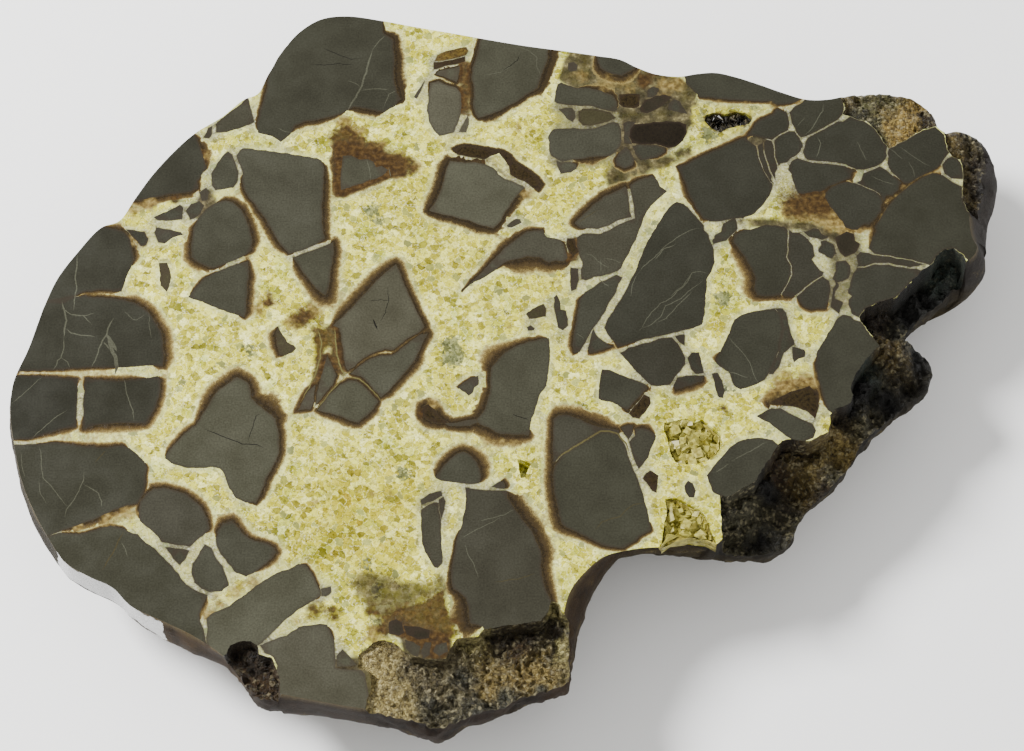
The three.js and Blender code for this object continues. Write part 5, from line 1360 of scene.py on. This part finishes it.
# Painted shade: the gaps between the crumbs are darkened.
crumb_gap_shade = add_node(tree, "ShaderNodeMapRange", EASE, gaps, 0.0, 0.12, 0.35, 0.0)
colour = add_node(tree, "ShaderNodeMix", LAID, crumb_gap_shade, i6=colour, i7="#14110b")
height = add_node(tree, "ShaderNodeMath", PLUS, lumpy, add_node(
    tree, "ShaderNodeMath", TIMES, chance[2], 0.2))
height = add_node(tree, "ShaderNodeMath", PLUS, height, add_node(
    tree, "ShaderNodeMapRange", EASE, gaps, 0.0, 0.2, 0.0, 0.25))
bump = add_node(tree, "ShaderNodeBump", {}, Strength=0.9, Distance=0.0016, Height=height)
shader = add_node(tree, "ShaderNodeBsdfPrincipled", {}, colour, Roughness=0.42, Normal=bump,
                  Specular_IOR_Level=0.3)
tree.links.new(shader.outputs[0], output.inputs["Surface"])

# Weathered skin: the concretion's own surface, dull and stained by soil, with a few thin veins
# weathered out on the back. The collector's patch is matt white paint.
skin, tree, output = new_material("weathered_skin")
coords = millimetres(tree)
ground, depth, edge, patch = [
    add_node(tree, "ShaderNodeAttribute", {"attribute_name": name}).outputs[out]
    for name, out in (("ground", "Color"), ("depth", "Fac"), ("edge", "Fac"), ("patch", "Fac"))]
soil = add_node(tree, "ShaderNodeTexNoise", {}, coords, Scale=0.12, Detail=6.0,
                Roughness=0.6).outputs["Fac"]
pores = add_node(tree, "ShaderNodeTexNoise", {}, coords, Scale=1.1, Detail=5.0,
                 Roughness=0.7).outputs["Fac"]
colour = ground
for amount, source, stops in ((1.0, soil, [(0.3, "#8f897e"), (0.5, "#d6d1c8"), (0.7, "#ffffff")]),
                              (0.6, pores, [(0.35, "#7e776c"), (0.6, "#ffffff")])):
    shade = add_node(tree, "ShaderNodeValToRGB", {"stops": stops}, source)
    colour = add_node(tree, "ShaderNodeMix", GLAZED, amount, i6=colour, i7=shade)
veins = add_node(tree, "ShaderNodeTexVoronoi", {"feature": "DISTANCE_TO_EDGE"},
                 millimetres(tree, 9.0), Scale=0.038).outputs["Distance"]
crack = add_node(tree, "ShaderNodeMapRange", EASE, veins, 0.0, 0.03, 0.6, 0.0)
for source, low, high in ((depth, 5.0, 22.0), (soil, 0.48, 0.62)):
    share_here = add_node(tree, "ShaderNodeMapRange", EASE, source, low, high)
    crack = add_node(tree, "ShaderNodeMath", TIMES, crack, share_here)
colour = add_node(tree, "ShaderNodeMix", LAID, crack, i6=colour, i7="#7a6a3c")
# Veins that reach the sawn edge run a little way down the side.
ragged = add_node(tree, "ShaderNodeMath", PLUS, depth, add_node(
    tree, "ShaderNodeMath", TIMES, pores, 8.0))
foot = add_node(tree, "ShaderNodeMapRange", EASE, ragged, 3.5, 8.0, 0.5, 0.0)
off_block = add_node(tree, "ShaderNodeMapRange", EASE, edge, 0.2, 1.2)
foot = add_node(tree, "ShaderNodeMath", TIMES, foot, off_block)
colour = add_node(tree, "ShaderNodeMix", LAID, foot, i6=colour, i7="#63573a")
# The white paint, thin and worn at its border.
brushed = add_node(tree, "ShaderNodeMath", MINUS, soil, 0.5)
brushed = add_node(tree, "ShaderNodeMath", PLUS, patch, add_node(
    tree, "ShaderNodeMath", TIMES, brushed, 9.0))
worn = add_node(tree, "ShaderNodeMath", MINUS, pores, 0.5)
brushed = add_node(tree, "ShaderNodeMath", PLUS, brushed, add_node(
    tree, "ShaderNodeMath", TIMES, worn, 2.5))
painted = add_node(tree, "ShaderNodeMapRange", EASE, brushed, -0.2, 0.4, 0.0, 0.94)
colour = add_node(tree, "ShaderNodeMix", LAID, painted, i6=colour, i7="#c9c9c8")
height = add_node(tree, "ShaderNodeMath", PLUS, pores, add_node(
    tree, "ShaderNodeMath", TIMES, soil, 2.0))
bump = add_node(tree, "ShaderNodeBump", {}, Strength=0.45, Distance=0.0008, Height=height)
shader = add_node(tree, "ShaderNodeBsdfPrincipled", {}, colour, Roughness=0.75, Normal=bump,
                  Specular_IOR_Level=0.15)
tree.links.new(shader.outputs[0], output.inputs["Surface"])

for material in (polished, vein, rough, skin):
    stone_mesh.materials.append(material)
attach(stone, "root")
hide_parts("nodule")

# ---- The crystals of the three hollows ---------------------------------------------------------
# Crystals that grew into the open hollows of the veins: grey-green dog-tooth spikes in the slot,
# clear honey rhombs in the other two. Each hollow's lining and crystals are one crust.
CLEARANCE, CRUST = 0.35, 1.6  # the gap round a crust, and how thick its floor is
CLIMB, COVER = 2.6, 1.2  # how far a lining climbs in from the wall, and how far it stays down
OPEN_SIDE, FOOT_LEAN = 0.9, 2.2  # how near the stone's side a lining is open, and its foot's lean
LINING_GRID = 0.9
SUNK = 1.1  # how much lower than given the rhombs sit
TIP = math.radians(54.7)  # the lean that stands a cube on its corner
PRESSED = 0.82  # a rhomb's height, as a share of that cube's
TRIMMED = 0.05  # how far under the sawn face the crystals end
# x, y, size, depth of the middle under the face, turn and lean in degrees.
DOG_TEETH = """
86.2,96,2.3,5,200,20 89,92.6,2.2,4.5,120,24 93.2,93.6,2,4.8,80,20 97.5,94.6,2.3,5,95,22
100.6,96.2,2,4.5,20,22 98,98,2,5.2,265,24 93.6,97.6,2.2,4.6,280,20 89.4,97.8,2.2,5,250,22
91.4,95.4,1.8,7.5,0,5 95.6,96.2,1.8,7.2,0,8
"""
HONEY_RHOMBS = """
75.8,-34.2,8.6,4.6,12,10 70.4,-31,6.6,4.6,70,25 70.8,-37,6.8,5.8,40,30 81.6,-34.6,6.8,4.8,100,22
79.4,-39.8,6.8,5.2,150,28 74.4,-41.4,6,4.8,20,24 83.6,-39,4.2,5.4,60,30 71.2,-42.4,4,4.2,110,18
75.4,-29.2,4.2,4,30,30 80.6,-29.8,4.2,4.4,135,26
"""
BRINK_RHOMBS = """
69.4,-62,6.8,4.2,25,22 74.8,-67,7.6,4.4,70,18 68.8,-68.4,6.2,5.4,110,30 72.4,-72.6,5.8,4.4,15,25
67.4,-72.8,4,4.2,80,20 78.8,-71,4.6,4.2,140,24 79,-65.2,4,4.2,40,28 74.2,-62.2,4.2,4.2,100,24
81,-72.6,3.4,4.4,10,22 76.6,-74,3.4,4.8,60,20
"""


def rhomb_points(x, y, size, under, turn, lean):
    """A calcite rhomb, a cube pressed along its diagonal, with its faces as corner numbers."""
    turned = (Matrix.Rotation(math.radians(turn), 3, "Z")
              @ Matrix.Rotation(math.radians(lean - 30), 3, "X")
              @ Matrix.Diagonal((1, 1, PRESSED)) @ Matrix.Rotation(TIP, 3, "X")
              @ Matrix.Rotation(math.radians(45), 3, "Z"))
    corners = [turned @ Vector((a, b, c)) * size / 2 for a in (-1, 1) for b in (-1, 1)
               for c in (-1, 1)]
    middle = Vector((x, y, THICKNESS - SUNK - under))
    shapes = [(0, 1, 3, 2), (4, 6, 7, 5), (0, 4, 5, 1), (2, 3, 7, 6), (0, 2, 6, 4), (1, 5, 7, 3)]
    return [c + middle for c in corners], shapes


def spike_points(x, y, size, under, turn, lean):
    """A dog-tooth crystal: six uneven flanks that meet in a point."""
    turned = (Matrix.Rotation(math.radians(turn + 180), 3, "Z")
              @ Matrix.Rotation(math.radians(-lean), 3, "Y"))
    middle = Vector((x, y, THICKNESS - under))
    foot = [turned @ Vector((size * (0.5 if k % 2 else 0.4) * math.cos(k * math.pi / 3),
                             size * (0.5 if k % 2 else 0.4) * math.sin(k * math.pi / 3),
                             -size * 1.1)) for k in range(6)]
    tip = turned @ Vector((0, 0, size * 1.1))
    shapes = [(k, (k + 1) % 6, 6) for k in range(6)] + [(5, 4, 3, 2, 1, 0)]
    return [c + middle for c in foot + [tip]], shapes


def crust_mesh(name, outline, depth, crystals, grow):
    """A hollow's crust before its small crystals: a closed lining that climbs the walls, and the
    large crystals with their feet in it."""
    border_rows = ccw(along(outline, 0.8)[:, :2])
    outside = ~is_inside(ring, border_rows[:, 0], border_rows[:, 1])
    for k in np.where(outside)[0]:
        border_rows[k] = ring[np.hypot(*(ring - border_rows[k]).T).argmin()]
    border_rows = border_rows[np.hypot(*(border_rows - np.roll(border_rows, 1, axis=0)).T) > 0.2]
    border_rows = border_rows - CLEARANCE * 1.2 * rightward(border_rows)
    inner = grid_of(border_rows.min(0), border_rows.max(0), LINING_GRID)
    inner += 0.25 * np.sin(inner[:, ::-1] * 6.1)
    inner = inner[is_inside(border_rows, inner[:, 0], inner[:, 1])]
    inner = inner[from_outline(border_rows, inner[:, 0], inner[:, 1]) > 0.5]
    sheet = [Vector(p) for p in np.vstack([border_rows, inner])]
    xy, _, tris, _, _, _ = delaunay_2d_cdt(sheet, [], [list(range(len(border_rows)))], 1, 1e-4)
    xy = np.array(xy)
    off = from_outline(border_rows, xy[:, 0], xy[:, 1])
    floor = THICKNESS - depth + CLEARANCE
    rough_top = np.array([noise.fractal((x * 0.5, y * 0.5, depth), 0.7, 2.1, 4) for x, y in xy])
    climb = (depth - CLIMB) * np.clip(1 - off / CLIMB, 0, 1) ** 1.6
    upper = np.minimum(floor + CRUST + climb + 0.7 * rough_top, THICKNESS - COVER)
    made = bmesh.new()
    top_row = [made.verts.new((x, y, z)) for (x, y), z in zip(xy, upper)]
    # Where the hollow opens at the stone's side, the lining's foot leans in under its top.
    foot = xy.copy()
    for k in np.where(np.array([np.hypot(*(ring - p).T).min() for p in xy]) < OPEN_SIDE)[0]:
        to_middle = xy.mean(0) - xy[k]
        foot[k] += to_middle / np.hypot(*to_middle) * FOOT_LEAN
    low_row = [made.verts.new((x, y, floor)) for x, y in foot]
    for a, b, c in tris:
        made.faces.new((top_row[a], top_row[b], top_row[c]))
        made.faces.new((low_row[c], low_row[b], low_row[a]))
    pairs = {(a, b) for t in tris for a, b in zip(t, t[1:] + t[:1])}
    for a, b in pairs:
        if (b, a) not in pairs:
            made.faces.new((top_row[b], top_row[a], low_row[a], low_row[b]))
    for crystal in rows_of(crystals):
        corners, shapes = grow(*crystal)
        placed = [made.verts.new(c) for c in corners]
        for shape in shapes:
            made.faces.new([placed[k] for k in shape]).material_index = 1
    bmesh.ops.recalc_face_normals(made, faces=made.faces)
    bmesh.ops.scale(made, vec=(0.001, 0.001, 0.001), verts=made.verts)
    mesh = bpy.data.meshes.new(name)
    made.to_mesh(mesh)
    made.free()
    crust = bpy.data.objects.new(name, mesh)
    bpy.context.scene.collection.objects.link(crust)
    return crust


def druse_tree(name, spiky):
    """Geometry Nodes that seed small crystals on a lining, and give back the crystals alone."""
    tree = bpy.data.node_groups.new(name, "GeometryNodeTree")
    tree.interface.new_socket("Geometry", in_out="INPUT", socket_type="NodeSocketGeometry")
    for label, kind in (("Crystals per square metre", "NodeSocketFloat"),
                        ("Least size", "NodeSocketFloat"), ("Greatest size", "NodeSocketFloat"),
                        ("Seed", "NodeSocketInt"), ("Material", "NodeSocketMaterial")):
        tree.interface.new_socket(label, in_out="INPUT", socket_type=kind)
    tree.interface.new_socket("Geometry", in_out="OUTPUT", socket_type="NodeSocketGeometry")
    given = add_node(tree, "NodeGroupInput", {}).outputs
    normal = add_node(tree, "GeometryNodeInputNormal", {})
    up = add_node(tree, "ShaderNodeSeparateXYZ", {}, normal).outputs["Z"]
    lining_top = add_node(tree, "ShaderNodeMath", {"operation": "GREATER_THAN"}, up, 0.15)
    seeds = add_node(tree, "GeometryNodeDistributePointsOnFaces", {}, given["Geometry"], lining_top,
                     Density=given["Crystals per square metre"], Seed=given["Seed"])
    if spiky:
        one = add_node(tree, "GeometryNodeMeshCone", {}, 6, Radius_Top=0.0, Radius_Bottom=0.5,
                       Depth=2.0)
    else:
        one = add_node(tree, "GeometryNodeMeshCube", {}, (1.0, 1.0, 1.0))
        for turn, scale in (((0, 0, math.radians(45)), (1, 1, 1)),
                            ((TIP, 0, 0), (1, 1, 1)), ((0, 0, 0), (1, 1, PRESSED))):
            one = add_node(tree, "GeometryNodeTransform", {}, one, Rotation=turn, Scale=scale)
    flat_faces = add_node(tree, "GeometryNodeSetShadeSmooth", {}, one, Shade_Smooth=False)
    tilt = add_node(tree, "FunctionNodeRandomValue", {"data_type": "FLOAT_VECTOR"},
                    (-0.7, -0.7, -3.1), (0.7, 0.7, 3.1), Seed=given["Seed"])
    turned = add_node(tree, "FunctionNodeRotateRotation", {"rotation_space": "LOCAL"},
                      seeds.outputs["Rotation"], tilt)
    size = add_node(tree, "FunctionNodeRandomValue", {"data_type": "FLOAT"}, None, None,
                    given["Least size"], given["Greatest size"], Seed=given["Seed"])
    grown = add_node(tree, "GeometryNodeInstanceOnPoints", {}, seeds.outputs["Points"],
                     Instance=flat_faces, Rotation=turned, Scale=size)
    real = add_node(tree, "GeometryNodeRealizeInstances", {}, grown)
    coated = add_node(tree, "GeometryNodeSetMaterial", {}, real, Material=given["Material"])
    add_node(tree, "NodeGroupOutput", {}, coated)
    return tree


def grow_druse(crust, tree, density, least, greatest, seed, material):
    """The crust and its small crystals as one plain mesh."""
    modifier = crust.modifiers.new("druse", "NODES")
    modifier.node_group = tree
    named = {item.name: item.identifier for item in tree.interface.items_tree
             if item.in_out == "INPUT"}
    for label, value in (("Crystals per square metre", density), ("Least size", least),
                         ("Greatest size", greatest), ("Seed", seed), ("Material", material)):
        modifier[named[label]] = value
    evaluated = crust.evaluated_get(bpy.context.evaluated_depsgraph_get())
    crystals = bpy.data.meshes.new_from_object(evaluated)
    crust.modifiers.clear()
    whole = bmesh.new()
    whole.from_mesh(crust.data)
    lining_faces = len(whole.faces)
    whole.from_mesh(crystals)
    for face in list(whole.faces)[lining_faces:]:
        face.material_index = 1
    # A crystal ends where the stone was sawn and where its side has broken away.
    spots = np.array([vertex.co[:2] for vertex in whole.verts]) * 1000
    beyond = ~is_inside(ring, spots[:, 0], spots[:, 1])
    for k, vertex in enumerate(whole.verts):
        if beyond[k]:
            vertex.co.x, vertex.co.y = ring[np.hypot(*(ring - spots[k]).T).argmin()] / 1000
        vertex.co.z = min(vertex.co.z, (THICKNESS - TRIMMED) / 1000)
    whole.to_mesh(crust.data)
    whole.free()
    bpy.data.meshes.remove(crystals)


# Honey calcite: clear, glassy rhombs with cleavage faces and faint veils inside. Its colour is in
# its depth, so thick crystals are deeper yellow.
honey_clear, tree, output = new_material("clear_honey_calcite")
veils = add_node(tree, "ShaderNodeTexNoise", {}, millimetres(tree), Scale=0.7,
                 Detail=4.0).outputs["Fac"]
colour = add_node(tree, "ShaderNodeValToRGB", {"stops": [(0.35, "#857a26"), (0.6, "#bdb658")]}, veils)
frost = add_node(tree, "ShaderNodeMapRange", EASE, veils, 0.35, 0.75, 0.36, 0.52)
bump = add_node(tree, "ShaderNodeBump", {}, Strength=0.15, Distance=0.0002, Height=veils)
shader = add_node(tree, "ShaderNodeBsdfPrincipled", {}, colour, Roughness=frost, IOR=1.6,
                  Normal=bump, Transmission_Weight=0.35, Specular_IOR_Level=0.1)
tree.links.new(shader.outputs[0], output.inputs["Surface"])
depth_colour = add_node(tree, "ShaderNodeVolumeAbsorption", {}, "#c3b02c", 110.0)
tree.links.new(depth_colour.outputs[0], output.inputs["Volume"])

# Dog-tooth calcite: small grey-green spikes, half clear, with dull frosted flanks. Their colour is
# painted near black and brown, as shade down in the slot.
dogtooth, tree, output = new_material("dogtooth_calcite")
veils = add_node(tree, "ShaderNodeTexNoise", {}, millimetres(tree), Scale=0.5,
                 Detail=4.0).outputs["Fac"]
colour = add_node(tree, "ShaderNodeValToRGB", {"stops": [
    (0.3, "#0f0d07"), (0.5, "#221d11"), (0.68, "#564d31")]}, veils)
frost = add_node(tree, "ShaderNodeMapRange", EASE, veils, 0.35, 0.75, 0.4, 0.6)
shader = add_node(tree, "ShaderNodeBsdfPrincipled", {}, colour, Roughness=frost, IOR=1.6,
                  Transmission_Weight=0.2, Specular_IOR_Level=0.3)
tree.links.new(shader.outputs[0], output.inputs["Surface"])

# The lining under the crystals: massive calcite, grown against the wall, in small cleavage steps
# about 1 mm wide. It is yellow under the rhombs; in the slot it is painted nearly black, as shade at
# the bottom of the slot.
linings = []
for name, stops in (
        ("massive_calcite_lining", [(0.0, "#4c4415"), (0.4, "#6f6526"), (0.75, "#958b3c"),
                                    (1.0, "#bfb662")]),
        # Painted shade: the slot's lining is nearly black for the shade at the bottom of the slot.
        ("dark_calcite_lining", [(0.0, "#0c0b07"), (0.5, "#19160d"), (1.0, "#38321e")])):
    lining_stone, tree, output = new_material(name)
    steps = add_node(tree, "ShaderNodeTexVoronoi", {}, millimetres(tree, 0.8), Scale=0.85)
    chance = add_node(tree, "ShaderNodeSeparateColor", {}, steps.outputs["Color"]).outputs
    colour = add_node(tree, "ShaderNodeValToRGB", {"stops": stops}, chance[0])
    bump = add_node(tree, "ShaderNodeBump", {}, Strength=0.5, Distance=0.0006, Height=chance[1])
    shader = add_node(tree, "ShaderNodeBsdfPrincipled", {}, colour, Roughness=0.55, IOR=1.6,
                      Normal=bump, Specular_IOR_Level=0.25)
    tree.links.new(shader.outputs[0], output.inputs["Surface"])
    linings.append(lining_stone)

rhomb_druse, spike_druse = druse_tree("rhomb_druse", False), druse_tree("dogtooth_druse", True)
for name, node, outline, depth, crystals, grow, druse, figures, finish, bed, slot_name in (
        ("slot_crust", "slot_crystals", SLOT, SLOT_FLOOR, DOG_TEETH, spike_points, spike_druse,
         (900000, 0.0007, 0.0016, 3), dogtooth, linings[1], "dogtooth_calcite"),
        ("honey_crust", "honey_crystals", HONEY, HONEY_FLOOR, HONEY_RHOMBS, rhomb_points, rhomb_druse,
         (110000, 0.0016, 0.0038, 5), honey_clear, linings[0], "honey_calcite"),
        ("brink_crust", "brink_crystals", BRINK, BRINK_FLOOR, BRINK_RHOMBS, rhomb_points, rhomb_druse,
         (110000, 0.0016, 0.0036, 8), honey_clear, linings[0], "honey_calcite")):
    crust = crust_mesh(name, rows_of(outline), depth, crystals, grow)
    crust.data.materials.append(bed)
    crust.data.materials.append(finish)
    grow_druse(crust, druse, *figures, finish)
    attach(crust, "root")
    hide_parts(node)
